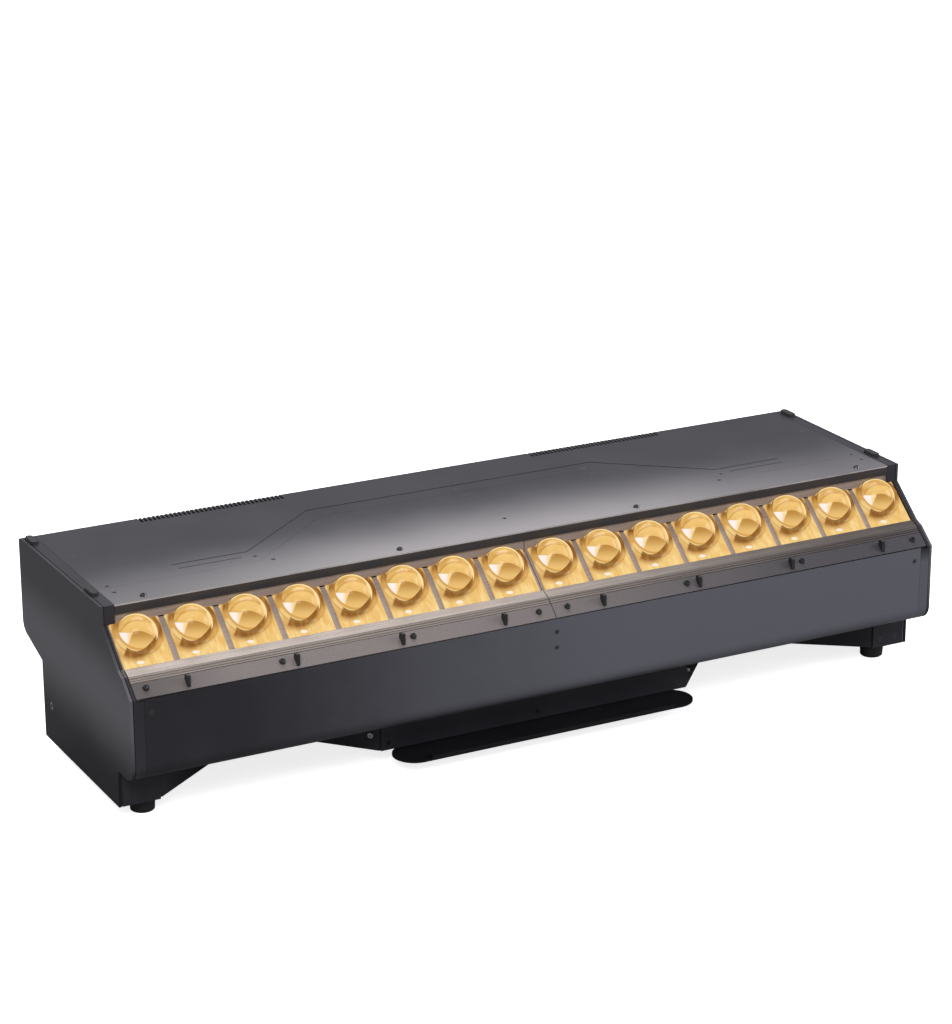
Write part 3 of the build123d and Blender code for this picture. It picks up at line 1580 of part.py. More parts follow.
# Round connectors in the lower back wall, power first and data second
socket_names = {
    "power_inlet": power_x,
    "power_outlet": power_x + socket_pitch,
    "data_inlet": data_x,
    "data_outlet": data_x + socket_pitch,
}
for label, place in socket_names.items():
    pin_count = 3
    with BuildPart() as connector:
        with BuildSketch(back_plane(place, lower_back + touch, socket_z)):
            RectangleRounded(socket_flange, socket_flange, 2)
            with GridLocations(socket_flange - 6, socket_flange - 6, 2, 2):
                Circle(small_screw, mode=Mode.SUBTRACT)
        extrude(amount=socket_flange_thickness)
        with BuildSketch(back_plane(place, lower_back + touch, socket_z)):
            Circle(socket_radius)
        extrude(amount=socket_flange_thickness + socket_reach)
        with BuildSketch(back_plane(place, lower_back + touch, socket_z)):
            Circle(socket_radius)
        extrude(amount=-socket_body)
        mouth_y = lower_back + touch + socket_flange_thickness + socket_reach
        with BuildSketch(back_plane(place, mouth_y, socket_z)):
            Circle(socket_bore)
        extrude(amount=-socket_depth, mode=Mode.SUBTRACT)
        with BuildSketch(back_plane(place, mouth_y - socket_depth, socket_z)):
            with PolarLocations(5, pin_count, start_angle=90):
                Circle(1.2)
        extrude(amount=socket_depth - 5)
    save(connector, label)

# Eye for a safety rope on the lower back wall
eye_y = 116
eye_z = 58
eye_bore = 7
with BuildPart() as safety_eye:
    with BuildSketch(back_plane(0, lower_back + touch, eye_z)):
        RectangleRounded(44, 32, 3)
        with GridLocations(32, 20, 2, 2):
            Circle(2.1, mode=Mode.SUBTRACT)
    extrude(amount=2.5)
    with BuildSketch(section_at(-2.5)):
        with Locations((eye_y, eye_z)):
            Circle(12)
        Polygon(
            (lower_back + 2, eye_z - 12),
            (eye_y, eye_z - 12),
            (eye_y, eye_z + 12),
            (lower_back + 2, eye_z + 12),
            align=None,
        )
        with Locations((eye_y, eye_z)):
            Circle(eye_bore, mode=Mode.SUBTRACT)
    extrude(amount=5)
save(safety_eye, "safety_eye")

# Cables from the power supply to the driver boards and to the controls
with BuildPart() as wiring:
    for hand in (-1, 1):
        with BuildLine() as cable_line:
            Spline(
                (hand * (supply_half + 9.2), 66, floor_top + 12),
                (hand * 230, 74, floor_top + 16),
                (hand * 345, 60, driver_level + 14),
                (hand * 360, 34, driver_level + 16),
                (hand * 369.5, 28.5, driver_level + board_thickness + 13.2),
                tangents=((hand, 0, 0), (hand * 0.2, -0.1, -1)),
            )
        with BuildSketch(Plane(cable_line.line @ 0, z_dir=cable_line.line % 0)):
            Circle(2.4)
        sweep()
save(wiring, "wiring")
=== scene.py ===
import json
import math

import bpy
from mathutils import Matrix, Vector

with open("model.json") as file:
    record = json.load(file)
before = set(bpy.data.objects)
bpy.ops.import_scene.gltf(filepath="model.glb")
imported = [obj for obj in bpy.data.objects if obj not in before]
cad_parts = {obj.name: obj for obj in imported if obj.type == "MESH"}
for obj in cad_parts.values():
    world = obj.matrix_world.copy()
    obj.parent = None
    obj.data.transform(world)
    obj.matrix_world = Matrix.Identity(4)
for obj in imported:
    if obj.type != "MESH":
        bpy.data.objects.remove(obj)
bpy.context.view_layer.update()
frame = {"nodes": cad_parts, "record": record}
nodes = frame["nodes"]

# Directions of the lamp
ALONG = Vector((1, 0, 0))
FRONT = Vector((0, -1, 0))
UP = Vector((0, 0, 1))
ORIGIN = Vector((0, 0, 0))

# Lens cells on the sloping face, in metres
CELL_PITCH = 0.06185
SLOPE = math.radians(40.4)
DOWN = Vector((0, -math.cos(SLOPE), -math.sin(SLOPE)))
OUT = Vector((0, -math.sin(SLOPE), math.cos(SLOPE)))
BROW = Vector((0, -0.0867, 0.2101))
BROW_TO_DOME = 0.0143
DOME_SINK = 0.0068
DOME_RADIUS = 0.023
DOME_CENTRE = BROW + DOWN * BROW_TO_DOME - OUT * DOME_SINK

# The side from which the painted light inside the lenses is laid out
VIEW_BACK = Vector((-0.4401, -0.8362, 0.3274))
VIEW_RIGHT = Vector((0.8849, -0.4658, 0))
VIEW_UP = VIEW_BACK.cross(VIEW_RIGHT)

# Grain of the finishes as noise scales, and its depth in metres
COAT_GRAIN = 1500
COAT_CLOUD = 9
COAT_DEPTH = 0.00005
SATIN_GRAIN = 1300
SATIN_DEPTH = 0.00003
DRAWN_DEPTH = 0.00002

# Sockets of a colour mix
MIX_SHARE = 0
MIX_LOW = 6
MIX_HIGH = 7
MIX_RESULT = 2


def linear(red, green, blue):
    """A display colour from 0 to 255 as the linear colour that shaders take."""
    values = []
    for channel in (red, green, blue):
        share = channel / 255
        values.append(share / 12.92 if share < 0.04045 else ((share + 0.055) / 1.055) ** 2.4)
    return (*values, 1)


def find_node(graph, kind):
    return next(node for node in graph.nodes if node.type == kind)


class Value:
    """A number inside a material, with the sums that the layouts below need."""

    def __init__(self, graph, socket):
        self.graph = graph
        self.socket = socket

    def join(self, kind, other=None):
        node = self.graph.nodes.new("ShaderNodeMath")
        node.operation = kind
        for slot, value in zip(node.inputs, (self, other)):
            if isinstance(value, Value):
                self.graph.links.new(value.socket, slot)
            elif value is not None:
                slot.default_value = value
        return Value(self.graph, node.outputs[0])

    def __add__(self, other):
        return self.join("ADD", other)

    def __sub__(self, other):
        return self.join("SUBTRACT", other)

    def __mul__(self, other):
        return self.join("MULTIPLY", other)

    def __truediv__(self, other):
        return self.join("DIVIDE", other)

    def inverse(self):
        return self * -1 + 1

    def root(self):
        return self.join("SQRT")

    def size(self):
        return self.join("ABSOLUTE")

    def rise(self, low, high):
        """0 below the lower edge, 1 above the higher one, smooth between them."""
        node = self.graph.nodes.new("ShaderNodeMapRange")
        node.interpolation_type = "SMOOTHSTEP"
        self.graph.links.new(self.socket, node.inputs["Value"])
        node.inputs["From Min"].default_value = low
        node.inputs["From Max"].default_value = high
        return Value(self.graph, node.outputs["Result"])


class Paint:
    """One material with its shader, its coordinates and the layers that are added to it."""

    def __init__(self, name):
        self.material = bpy.data.materials.new(name)
        self.material.use_nodes = True
        self.graph = self.material.node_tree
        self.nodes = self.graph.nodes
        self.links = self.graph.links
        self.shader = find_node(self.graph, "BSDF_PRINCIPLED")
        self.coordinates = self.nodes.new("ShaderNodeTexCoord").outputs["Object"]

    def put(self, **values):
        for name, value in values.items():
            self.shader.inputs[name.replace("_", " ")].default_value = value

    def along(self, axis, origin=ORIGIN, scale=1.0):
        """The place along an axis, from an origin, divided by a scale."""
        node = self.nodes.new("ShaderNodeVectorMath")
        node.operation = "DOT_PRODUCT"
        self.links.new(self.coordinates, node.inputs[0])
        node.inputs[1].default_value = axis
        return (Value(self.graph, node.outputs["Value"]) - origin.dot(axis)) / scale

    def noise(self, scale, detail, roughness, stretch=None):
        node = self.nodes.new("ShaderNodeTexNoise")
        node.inputs["Scale"].default_value = scale
        node.inputs["Detail"].default_value = detail
        node.inputs["Roughness"].default_value = roughness
        source = self.coordinates
        if stretch:
            mapping = self.nodes.new("ShaderNodeMapping")
            self.links.new(source, mapping.inputs["Vector"])
            mapping.inputs["Scale"].default_value = stretch
            source = mapping.outputs["Vector"]
        self.links.new(source, node.inputs["Vector"])
        return Value(self.graph, node.outputs["Fac"])

    def mix(self, low, high, share):
        """From the lower tone at a share of 0 to the higher one at 1; either may be a colour or a socket."""
        node = self.nodes.new("ShaderNodeMix")
        node.data_type = "RGBA"
        for index, value in ((MIX_LOW, low), (MIX_HIGH, high)):
            if isinstance(value, tuple):
                node.inputs[index].default_value = value
            else:
                self.links.new(value, node.inputs[index])
        if isinstance(share, Value):
            self.links.new(share.socket, node.inputs[MIX_SHARE])
        else:
            node.inputs[MIX_SHARE].default_value = share
        return node.outputs[MIX_RESULT]

    def base(self, socket):
        self.links.new(socket, self.shader.inputs["Base Color"])

    def glow(self, socket):
        self.links.new(socket, self.shader.inputs["Emission Color"])

    def rough(self, value):
        self.links.new(value.socket, self.shader.inputs["Roughness"])

    def bump(self, value, distance, strength):
        node = self.nodes.new("ShaderNodeBump")
        node.inputs["Distance"].default_value = distance
        node.inputs["Strength"].default_value = strength
        self.links.new(value.socket, node.inputs["Height"])
        self.links.new(node.outputs["Normal"], self.shader.inputs["Normal"])


def coat_noise(paint):
    """Fine pimples, slow clouds, and the share of the lighter tone that they give together."""
    fine = paint.noise(COAT_GRAIN, 2, 0.6)
    slow = paint.noise(COAT_CLOUD, 4, 0.55)
    return fine, slow, slow.rise(0.3, 0.7) * 0.6 + fine.rise(0.45, 0.75) * 0.4


def coat_surface(paint, tone, fine, slow, gloss, shine):
    """The tone, gloss and pimples of a powder coat."""
    paint.put(Specular_IOR_Level=shine)
    paint.base(tone)
    paint.rough(fine * 0.12 + slow * 0.08 + (gloss - 0.1))
    paint.bump(fine, COAT_DEPTH, 0.6)


def coated(name, dark, light, gloss=0.42, paler_stretches=(), shine=0.3):
    """Powder coat with paler stretches, each from a start to a full place along a direction."""
    paint = Paint(name)
    fine, slow, lighter = coat_noise(paint)
    tone = paint.mix(dark, light, lighter)
    # Paler stretches laid along a direction; on the side plates and the front cover they are painted light
    for direction, start, full, pale in paler_stretches:
        place = paint.along(direction) + (slow - 0.5) * (full - start) * 0.25
        tone = paint.mix(tone, pale, place.rise(start, full) * (fine * 0.3 + 0.85))
    coat_surface(paint, tone, fine, slow, gloss, shine)
    return paint


def moulded(name, dark, light, gloss=0.5, grain=2200):
    """Moulded plastic or rubber with a fine grain."""
    paint = Paint(name)
    fine = paint.noise(grain, 2, 0.5)
    slow = paint.noise(30, 3, 0.5)
    paint.base(paint.mix(dark, light, slow.rise(0.3, 0.7) * 0.7 + fine * 0.3))
    paint.rough(fine * 0.15 + (gloss - 0.07))
    paint.bump(fine, SATIN_DEPTH, 0.5)
    return paint


def metal(name, dark, light, gloss):
    """Brushed or drawn metal, its lines along the lamp."""
    paint = Paint(name)
    lines = paint.noise(6, 4, 0.6, (4, 300, 300))
    slow = paint.noise(25, 3, 0.5)
    paint.base(paint.mix(dark, light, lines.rise(0.3, 0.7) * 0.6 + slow * 0.4))
    paint.put(Metallic=1.0)
    paint.rough(lines * 0.18 + (gloss - 0.08))
    paint.bump(lines, DRAWN_DEPTH, 0.4)
    return paint


def top_coat():
    """Powder coat of the top, with a painted highlight towards its front edge, and dark again where it is
    bent down, that face in painted light with streaks of painted reflection and a painted highlight along
    the bend.
    """
    top_level = (0.2302, 0.2308)
    fold_levels = (0.2185, 0.2295)
    edge_levels = (0.2288, 0.2296)
    edge_front = (0.084, 0.0855)
    painted_sheen_start = -0.1
    painted_sheen_full = 0.1

    paint = Paint("top_paint")
    fine, slow, lighter = coat_noise(paint)
    streaks = paint.noise(4, 3, 0.5, (3, 3, 40))
    tone = paint.mix(linear(37, 36, 41), linear(47, 46, 52), lighter)
    forward = paint.along(FRONT)
    height = paint.along(UP)
    on_top = height.rise(*top_level)
    bent_down = on_top.inverse()
    # Painted highlight on the top: pale towards the front edge, strongest at the middle of the lamp
    middle = (paint.along(ALONG) + 0.04).size().rise(0.08, 0.48).inverse() * 0.6 + 0.4
    painted_sheen = (forward + (slow - 0.5) * 0.02).rise(painted_sheen_start, painted_sheen_full)
    tone = paint.mix(tone, linear(146, 141, 143), painted_sheen * painted_sheen * middle * on_top * (fine * 0.3 + 0.85))
    # Painted light on the bent-down front face: a warm tone with streaks of painted reflection
    fold_shading = height.rise(*fold_levels) * bent_down
    tone = paint.mix(tone, linear(66, 58, 52), fold_shading * (streaks.rise(0.35, 0.7) * 0.6 + 0.3))
    # Painted highlight along the front bend
    edge = height.rise(*edge_levels) * bent_down * forward.rise(*edge_front)
    tone = paint.mix(tone, linear(190, 184, 182), edge * (slow.rise(0.3, 0.6) * 0.5 + 0.4))
    coat_surface(paint, tone, fine, slow, gloss=0.44, shine=0.4)
    return paint


def frame_coat():
    """Grey coat with a warm glow from the lenses painted into it, and soft streaks along the lamp."""
    paint = Paint("frame_paint")
    fine = paint.noise(SATIN_GRAIN, 2, 0.6)
    streaks = paint.noise(5, 4, 0.6, (2, 90, 90))
    lighter = streaks.rise(0.3, 0.7) * 0.5 + fine.rise(0.3, 0.75) * 0.5
    paint.base(paint.mix(linear(138, 123, 114), linear(160, 145, 138), lighter))
    paint.rough(fine * 0.12 + 0.42)
    paint.bump(fine, SATIN_DEPTH, 0.5)
    return paint


def rail_paint():
    """Anodised rail, drawn lines along it, and painted light from end to end: lighter at the near end,
    darker at the far end.
    """
    paint = Paint("rail_metal")
    lines = paint.noise(5, 4, 0.6, (2, 260, 260))
    lighter = lines.rise(0.3, 0.7)
    # Painted light: the lit tone at the near end, the shaded tone at the far end
    lit_tone = paint.mix(linear(118, 108, 101), linear(154, 142, 134), lighter)
    shaded_tone = paint.mix(linear(62, 56, 54), linear(90, 82, 78), lighter)
    paint.base(paint.mix(lit_tone, shaded_tone, paint.along(ALONG).rise(-0.1, 0.45)))
    paint.put(Metallic=0.2)
    paint.rough(lines * 0.15 + 0.33)
    paint.bump(lines, DRAWN_DEPTH, 0.4)
    return paint


def band_paint():
    """Satin band under the rail, with painted shade: a little darker where it starts and dark at its far
    end.
    """
    paint = Paint("band_paint")
    fine = paint.noise(SATIN_GRAIN, 2, 0.6)
    lighter = fine.rise(0.3, 0.7)
    place = paint.along(ALONG)
    # Painted shade: darker where the band starts and dark at its far end
    lit_tone = paint.mix(linear(110, 101, 99), linear(128, 118, 116), lighter)
    lit_tone = paint.mix(linear(86, 79, 77), lit_tone, place.rise(-0.5, -0.36))
    shaded_tone = paint.mix(linear(54, 51, 55), linear(66, 63, 67), lighter)
    paint.base(paint.mix(lit_tone, shaded_tone, place.rise(-0.2, 0.42)))
    paint.rough(fine * 0.12 + 0.38)
    paint.bump(fine, SATIN_DEPTH, 0.5)
    return paint


# Tones of the lit lenses and of the painted highlights and shade on them
GOLD = linear(226, 180, 98)
BRIGHT = linear(250, 218, 150)
DEEP = linear(168, 112, 38)
BROWN = linear(118, 66, 10)
WHITE = linear(255, 246, 240)


class LensPlaces:
    """Where each point lies in its lens cell, in dome radii: along the lamp (u), up the slope (v),
    out of it (w), and right and up as the view sees it (a, b)."""

    def __init__(self, paint):
        cell = paint.along(ALONG, scale=CELL_PITCH).join("FRACT")
        self.u = (cell - 0.5) * (CELL_PITCH / DOME_RADIUS)
        self.v = paint.along(-DOWN, DOME_CENTRE, DOME_RADIUS)
        self.w = paint.along(OUT, DOME_CENTRE, DOME_RADIUS)
        self.a = self.seen_along(VIEW_RIGHT)
        self.b = self.seen_along(VIEW_UP)
        self.flat_radius = (self.u * self.u + self.v * self.v).root()
        self.radius = (self.a * self.a + self.b * self.b).root()
        self.fine = paint.noise(70, 4, 0.6, (1, 1.4, 1.4))
        self.streak = paint.noise(60, 4, 0.65, (3.0, 0.7, 0.7))

        # The lines that divide the painted light inside the dome: the oval, the pane of painted reflection
        # and the crescent of painted shade
        low_x = self.a - 0.1
        self.low_line = low_x * low_x * 0.98 - 0.66
        self.left_line = self.b * 0.34 - 0.11
        # Painted shade: a dark crescent low in each cell as the view sees it, laid over the plate and the
        # skirt too
        self.crescent_tone = paint.mix(BROWN, DEEP, self.streak.rise(0.45, 0.75))
        crescent_shade = (self.low_line - self.b).rise(0.0, 0.03) * (self.a - self.left_line).rise(-0.1, 0.0)
        self.crescent_shade = crescent_shade * self.radius.rise(0.9, 1.1).inverse()

    def seen_along(self, axis):
        """How far a point lies along one axis of the view."""
        y_part = self.v * -DOWN.y + self.w * OUT.y
        z_part = self.v * -DOWN.z + self.w * OUT.z
        return self.u * axis.x + y_part * axis.y + z_part * axis.z

    def ellipse(self, centre, reach):
        """Square of the distance from a centre of the view, 1 where the reach ends."""
        x = (self.a - centre[0]) / reach[0]
        y = (self.b - centre[1]) / reach[1]
        return x * x + y * y


def plate_glow(paint, lens):
    """The flat plate round a dome, streaked, with painted shade close to the dome, a painted contact shadow
    round the skirt and one painted highlight, a white spot.
    """
    tone = paint.mix(linear(232, 186, 106), linear(250, 220, 150), lens.streak.rise(0.35, 0.68))
    # Painted shade on the plate below the dome
    shade_ring = lens.radius.rise(1.0, 1.28).inverse() * lens.b.rise(-1.2, -0.2).inverse()
    tone = paint.mix(tone, DEEP, shade_ring * 0.75)
    # Painted contact shadow round the skirt
    contact_shadow = lens.flat_radius.rise(1.13, 1.16) * lens.flat_radius.rise(1.17, 1.26).inverse()
    tone = paint.mix(tone, DEEP, contact_shadow * 0.55)
    # Painted highlight: one white spot below the dome
    spot = lens.ellipse(centre=(0.3, -1.18), reach=(0.17, 0.075)).rise(0.5, 1.4).inverse()
    tone = paint.mix(tone, WHITE, spot)
    # Painted shade: the dark crescent carried onto the plate
    return paint.mix(tone, lens.crescent_tone, lens.crescent_shade * 0.9)


def dome_glow(paint, lens):
    """The dome: a gold shell, and painted light on it: folds and the image of the light source inside it, a
    pane of painted reflection, painted shade below, and a bright rim of painted highlight.
    """
    a = lens.a
    b = lens.b

    # The shell, with a pale face inside it in painted light, lighter upwards, and a fold of painted shade
    # between them
    shell = paint.mix(linear(206, 158, 80), linear(232, 190, 112), lens.fine.rise(0.3, 0.7))
    inner = lens.ellipse(centre=(0.12, -0.25), reach=(0.9, 0.98)).root()
    paler = lens.fine.rise(0.3, 0.7) * 0.5 + b.rise(-0.2, 0.7) * 0.5
    tone = paint.mix(paint.mix(GOLD, linear(242, 202, 126), paler), shell, inner.rise(0.955, 0.99))
    fold_shading = inner.rise(0.9, 0.965) * inner.rise(0.97, 1.02).inverse() * a.rise(0.2, 0.55).inverse()
    tone = paint.mix(tone, DEEP, fold_shading * 0.5)

    # Painted light: the pointed oval in the middle, dark gold above and pale below
    top_x = a - 0.16
    top_line = top_x * top_x * -0.62 + 0.235
    oval = (top_line - b).rise(-0.012, 0.012) * (b - lens.low_line).rise(-0.012, 0.012)
    oval = oval * (a - lens.left_line).rise(-0.012, 0.02)
    oval_tone = paint.mix(linear(186, 136, 62), linear(240, 198, 122), (b * -1).rise(-0.2, 0.5))
    tone = paint.mix(tone, oval_tone, oval)

    # Painted reflection: the pale pane left of it
    pane_reflection = (b - 0.15).rise(-0.012, 0.012).inverse() * (a - lens.left_line).rise(-0.06, 0.02).inverse()
    pane_reflection = pane_reflection * (b - (a * -0.55 - 0.63)).rise(-0.015, 0.015) * (a + 0.77).rise(-0.01, 0.02)
    tone = paint.mix(tone, paint.mix(BRIGHT, WHITE, (a * -1).rise(0.16, 0.4)), pane_reflection)

    # Painted shade: the dark crescent under both, and a dark notch at the left
    under = (lens.low_line - b).rise(-0.01, 0.03) * (a - lens.left_line).rise(-0.04, 0.04)
    tone = paint.mix(tone, lens.crescent_tone, under * 0.92)
    notch_shade = lens.ellipse(centre=(-0.92, 0.08), reach=(0.13, 0.1)).rise(0.6, 1.3).inverse()
    tone = paint.mix(tone, BROWN, notch_shade * 0.9)

    # Painted highlight: the thin bright rim, and a bright stretch at its right side
    rim = lens.radius.rise(0.925, 0.955) * lens.radius.rise(0.985, 1.0).inverse()
    rim = rim * (b + a * 0.35).rise(0.05, 0.3)
    tone = paint.mix(tone, linear(255, 236, 178), rim * 0.9)
    side_rim_highlight = lens.radius.rise(0.8, 0.93) * (a - b * 0.3).rise(0.5, 0.62) * b.rise(0.0, 0.12)
    tone = paint.mix(tone, linear(255, 228, 170), side_rim_highlight * 0.8)
    # Painted shade along the outer edge of the dome
    return paint.mix(tone, DEEP, lens.radius.rise(0.975, 0.995) * 0.7)


def skirt_glow(paint, lens):
    """The low skirt round the dome, brown behind it where shade is painted, gold in front, with a painted
    glint.
    """
    # Painted shade: brown on the skirt behind the dome
    behind = (lens.v + lens.u * 0.4).rise(-0.45, 0.1) * 0.95
    tone = paint.mix(linear(212, 164, 88), BROWN, behind * (lens.streak.rise(0.4, 0.6) * 0.4 + 0.6))
    glint = (lens.u * -0.6 - lens.v).rise(0.75, 0.95) * lens.flat_radius.rise(1.02, 1.08)
    tone = paint.mix(tone, linear(250, 222, 156), glint * 0.7)
    # Painted shade: the dark crescent carried onto the skirt
    return paint.mix(tone, lens.crescent_tone, lens.crescent_shade * 0.85)


def lens_paint():
    """Clear moulded optic lit amber from below, with its highlights, reflections and shade painted into the
    glow.
    """
    paint = Paint("lens_amber")
    lens = LensPlaces(paint)
    above_plate = lens.w.rise(0.29, 0.31)
    on_skirt = lens.flat_radius.rise(0.9, 0.93) * lens.w.rise(0.44, 0.46).inverse()
    raised = paint.mix(dome_glow(paint, lens), skirt_glow(paint, lens), on_skirt)
    tone = paint.mix(plate_glow(paint, lens), raised, above_plate)
    paint.base(paint.mix(tone, linear(66, 42, 16), 0.88))
    paint.glow(tone)
    paint.put(Emission_Strength=0.84, Roughness=0.22, Specular_IOR_Level=0.18)
    return paint


def board_paint():
    """Green circuit board with paler copper under the mask."""
    paint = Paint("board_green")
    traces = paint.noise(260, 1, 0.2, (1, 4, 4))
    paint.base(paint.mix(linear(22, 70, 38), linear(44, 104, 62), traces.rise(0.48, 0.54)))
    paint.rough(traces * 0.2 + 0.3)
    paint.bump(traces, SATIN_DEPTH, 0.4)
    return paint


def display_paint():
    """Dark polished window with a faint cloud under it."""
    paint = Paint("display_glass")
    cloud = paint.noise(90, 3, 0.5)
    paint.base(paint.mix(linear(10, 14, 20), linear(22, 30, 42), cloud.rise(0.3, 0.7)))
    paint.rough(cloud * 0.05 + 0.06)
    paint.put(Coat_Weight=1.0, Coat_Roughness=0.03)
    return paint


def emitter_paint():
    """Small bright domes of the light sources."""
    paint = Paint("emitter_amber")
    cloud = paint.noise(700, 2, 0.5)
    tone = paint.mix(linear(255, 214, 130), linear(255, 236, 180), cloud.rise(0.3, 0.7))
    paint.base(tone)
    paint.glow(tone)
    paint.put(Emission_Strength=1.0, Roughness=0.3)
    return paint


def screw_paint():
    """Blackened screw heads, polished."""
    paint = moulded("black_screw", linear(12, 12, 13), linear(26, 26, 28), gloss=0.2, grain=900)
    paint.put(Coat_Weight=1.0, Coat_Roughness=0.12)
    return paint


housing_dark = linear(38, 37, 42)
housing_light = linear(50, 49, 54)
materials = {
    "housing_paint": coated("housing_paint", housing_dark, housing_light),
    "bracket_paint": coated("bracket_paint", linear(18, 18, 20), linear(27, 27, 30), gloss=0.38, shine=0.2),
    "frame_paint": frame_coat(),
    "rail_metal": rail_paint(),
    "lens_amber": lens_paint(),
    "board_green": board_paint(),
    "emitter_amber": emitter_paint(),
    "display_glass": display_paint(),
    "black_screw": screw_paint(),
    "black_rubber": moulded("black_rubber", linear(22, 22, 23), linear(34, 34, 36), 0.62, 1600),
    "black_plastic": moulded("black_plastic", linear(20, 20, 22), linear(32, 32, 35)),
    "button_plastic": moulded("button_plastic", linear(92, 93, 98), linear(116, 117, 122), 0.36),
    "blue_plastic": moulded("blue_plastic", linear(20, 62, 150), linear(34, 82, 178), 0.36),
    "grey_plastic": moulded("grey_plastic", linear(130, 131, 134), linear(158, 159, 162), 0.4),
    "bright_steel": metal("bright_steel", linear(150, 150, 152), linear(205, 205, 208), 0.26),
    "inner_steel": metal("inner_steel", linear(130, 131, 134), linear(172, 173, 176), 0.36),
    "sink_metal": metal("sink_metal", linear(150, 151, 154), linear(186, 187, 190), 0.34),
}

# Pieces with tones of their own: painted light on the band, top, side plates and front cover, and a right
# end frame paler towards the bottom
# Painted light on the side plates: dark low down, brightest near mid height, a little darker again towards
# the top
side_painted_light = [(UP, 0.045, 0.13, linear(98, 95, 99)), (UP, 0.14, 0.2, linear(64, 63, 67))]
side_paint = coated("side_paint", linear(24, 24, 27), linear(31, 31, 34), 0.46, side_painted_light, shine=0.15)
# The right end frame is paler towards the bottom, below about 0.14 m
end_paler_low = [(-UP, -0.15, -0.13, linear(90, 90, 97))]
# Painted light on the front cover: paler towards its right end
nose_painted_light = [(ALONG, -0.48, 0.15, linear(94, 94, 101))]
top_paint = top_coat()
special = {
    "filter_bands": band_paint(),
    "end_frame_right": coated("end_paint", housing_dark, housing_light, paler_stretches=end_paler_low),
    "side_plate_left": side_paint,
    "side_plate_right": side_paint,
    "top_cover_front": top_paint,
    "top_cover_rear": top_paint,
    "front_cover": coated("nose_paint", linear(36, 35, 39), linear(42, 41, 46), paler_stretches=nose_painted_light, shine=0.25),
}

for entry in frame["record"]["subparts"]:
    piece = nodes[entry["node"]]
    finish = special.get(entry["node"], materials[entry["material_slot"]]).material
    piece.data.materials.clear()
    piece.data.materials.append(finish)

scene = bpy.context.scene
scene.view_settings.view_transform = "Standard"


def backdrop():
    """White for the camera, straight or through clear pieces, and a dimmer level for the light itself."""
    world = bpy.data.worlds.new("studio")
    scene.world = world
    world.use_nodes = True
    sky = world.node_tree
    light = sky.nodes["Background"]
    light.inputs["Color"].default_value = (0.9, 0.93, 1.0, 1)
    light.inputs["Strength"].default_value = 0.38
    white = sky.nodes.new("ShaderNodeBackground")
    white.inputs["Color"].default_value = (1, 1, 1, 1)
    white.inputs["Strength"].default_value = 1.0
    rays = sky.nodes.new("ShaderNodeLightPath")
    either = sky.nodes.new("ShaderNodeMath")
    either.operation = "MAXIMUM"
    sky.links.new(rays.outputs["Is Camera Ray"], either.inputs[0])
    sky.links.new(rays.outputs["Is Transmission Ray"], either.inputs[1])
    mix = sky.nodes.new("ShaderNodeMixShader")
    sky.links.new(either.outputs[0], mix.inputs[0])
    sky.links.new(light.outputs[0], mix.inputs[1])
    sky.links.new(white.outputs[0], mix.inputs[2])
    sky.links.new(mix.outputs[0], find_node(sky, "OUTPUT_WORLD").inputs[0])


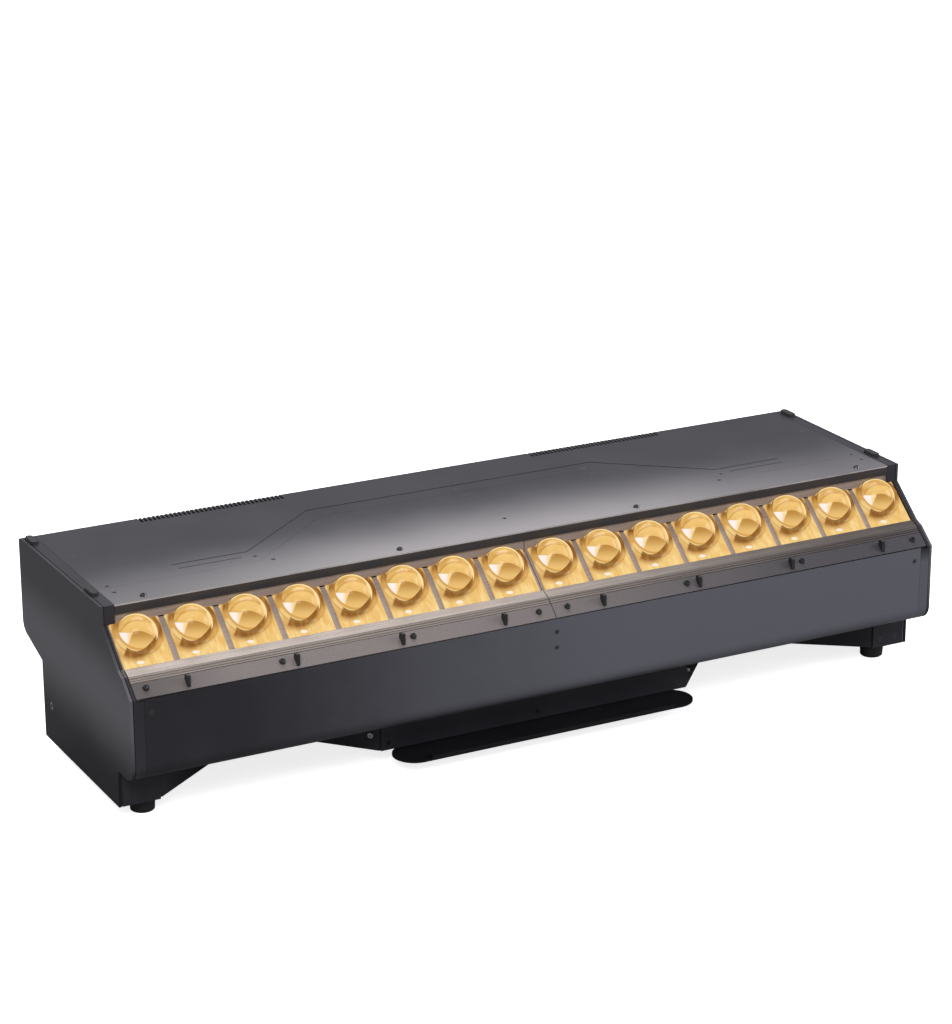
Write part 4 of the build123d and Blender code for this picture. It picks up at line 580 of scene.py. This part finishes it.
def floor_paint():
    """Matt floor, pale to the camera and greyer to the light that it sends up at the lamp."""
    seen_tone = (0.93, 0.93, 0.93, 1)
    sent_tone = (0.3, 0.3, 0.3, 1)
    seen_fill = 0.8

    material = bpy.data.materials.new("floor")
    material.use_nodes = True
    graph = material.node_tree
    shader = find_node(graph, "BSDF_PRINCIPLED")
    shader.inputs["Roughness"].default_value = 0.7
    shader.inputs["Specular IOR Level"].default_value = 0.1
    shader.inputs["Emission Color"].default_value = (1, 1, 1, 1)
    by_camera = graph.nodes.new("ShaderNodeLightPath").outputs["Is Camera Ray"]
    fill = graph.nodes.new("ShaderNodeMath")
    fill.operation = "MULTIPLY"
    fill.inputs[1].default_value = seen_fill
    graph.links.new(by_camera, fill.inputs[0])
    graph.links.new(fill.outputs[0], shader.inputs["Emission Strength"])
    tone = graph.nodes.new("ShaderNodeMix")
    tone.data_type = "RGBA"
    tone.inputs[MIX_LOW].default_value = sent_tone
    tone.inputs[MIX_HIGH].default_value = seen_tone
    graph.links.new(by_camera, tone.inputs[MIX_SHARE])
    graph.links.new(tone.outputs[MIX_RESULT], shader.inputs["Base Color"])
    return material


def lay_floor():
    """One large square at the height of the feet."""
    reach = 30
    corners = [(-reach, -reach, 0), (reach, -reach, 0), (reach, reach, 0), (-reach, reach, 0)]
    mesh = bpy.data.meshes.new("floor")
    mesh.from_pydata(corners, [], [(0, 1, 2, 3)])
    mesh.materials.append(floor_paint())
    floor = bpy.data.objects.new("floor", mesh)
    scene.collection.objects.link(floor)


def lamp(name, place, target, width, height, power, colour=(1, 1, 1)):
    """A soft rectangular light at a place, turned to a target, in metres and watts."""
    data = bpy.data.lights.new(name, "AREA")
    data.shape = "RECTANGLE"
    data.size = width
    data.size_y = height
    data.energy = power
    data.color = colour
    thing = bpy.data.objects.new(name, data)
    scene.collection.objects.link(thing)
    thing.location = place
    thing.rotation_euler = (Vector(target) - Vector(place)).to_track_quat("-Z", "Y").to_euler()


def place_camera():
    """Camera at the photograph's place, with its slight tilt."""
    lens_length = 108.26
    film_width = 36
    tilt = math.radians(-0.183)
    place = Vector((-1.5406, -2.8975, 1.3637))
    target = Vector((0.0001, 0.0297, 0.2175))

    data = bpy.data.cameras.new("camera")
    data.lens = lens_length
    data.sensor_width = film_width
    data.sensor_fit = "AUTO"
    data.clip_end = 100
    camera = bpy.data.objects.new("camera", data)
    scene.collection.objects.link(camera)
    turn = (target - place).to_track_quat("-Z", "Y").to_matrix().to_4x4()
    camera.matrix_world = Matrix.Translation(place) @ turn @ Matrix.Rotation(tilt, 4, "Z")
    scene.camera = camera


backdrop()
lay_floor()
lamp("key", (-1.6, -2.2, 2.4), (0, 0, 0.15), 1.6, 1.2, 62)
lamp("top", (0.3, 1.2, 2.8), (0, 0, 0.2), 2.4, 1.4, 70)
lamp("right", (2.6, -1.2, 1.2), (0.1, 0, 0.15), 1.2, 1.4, 34, (0.92, 0.94, 1.0))
place_camera()
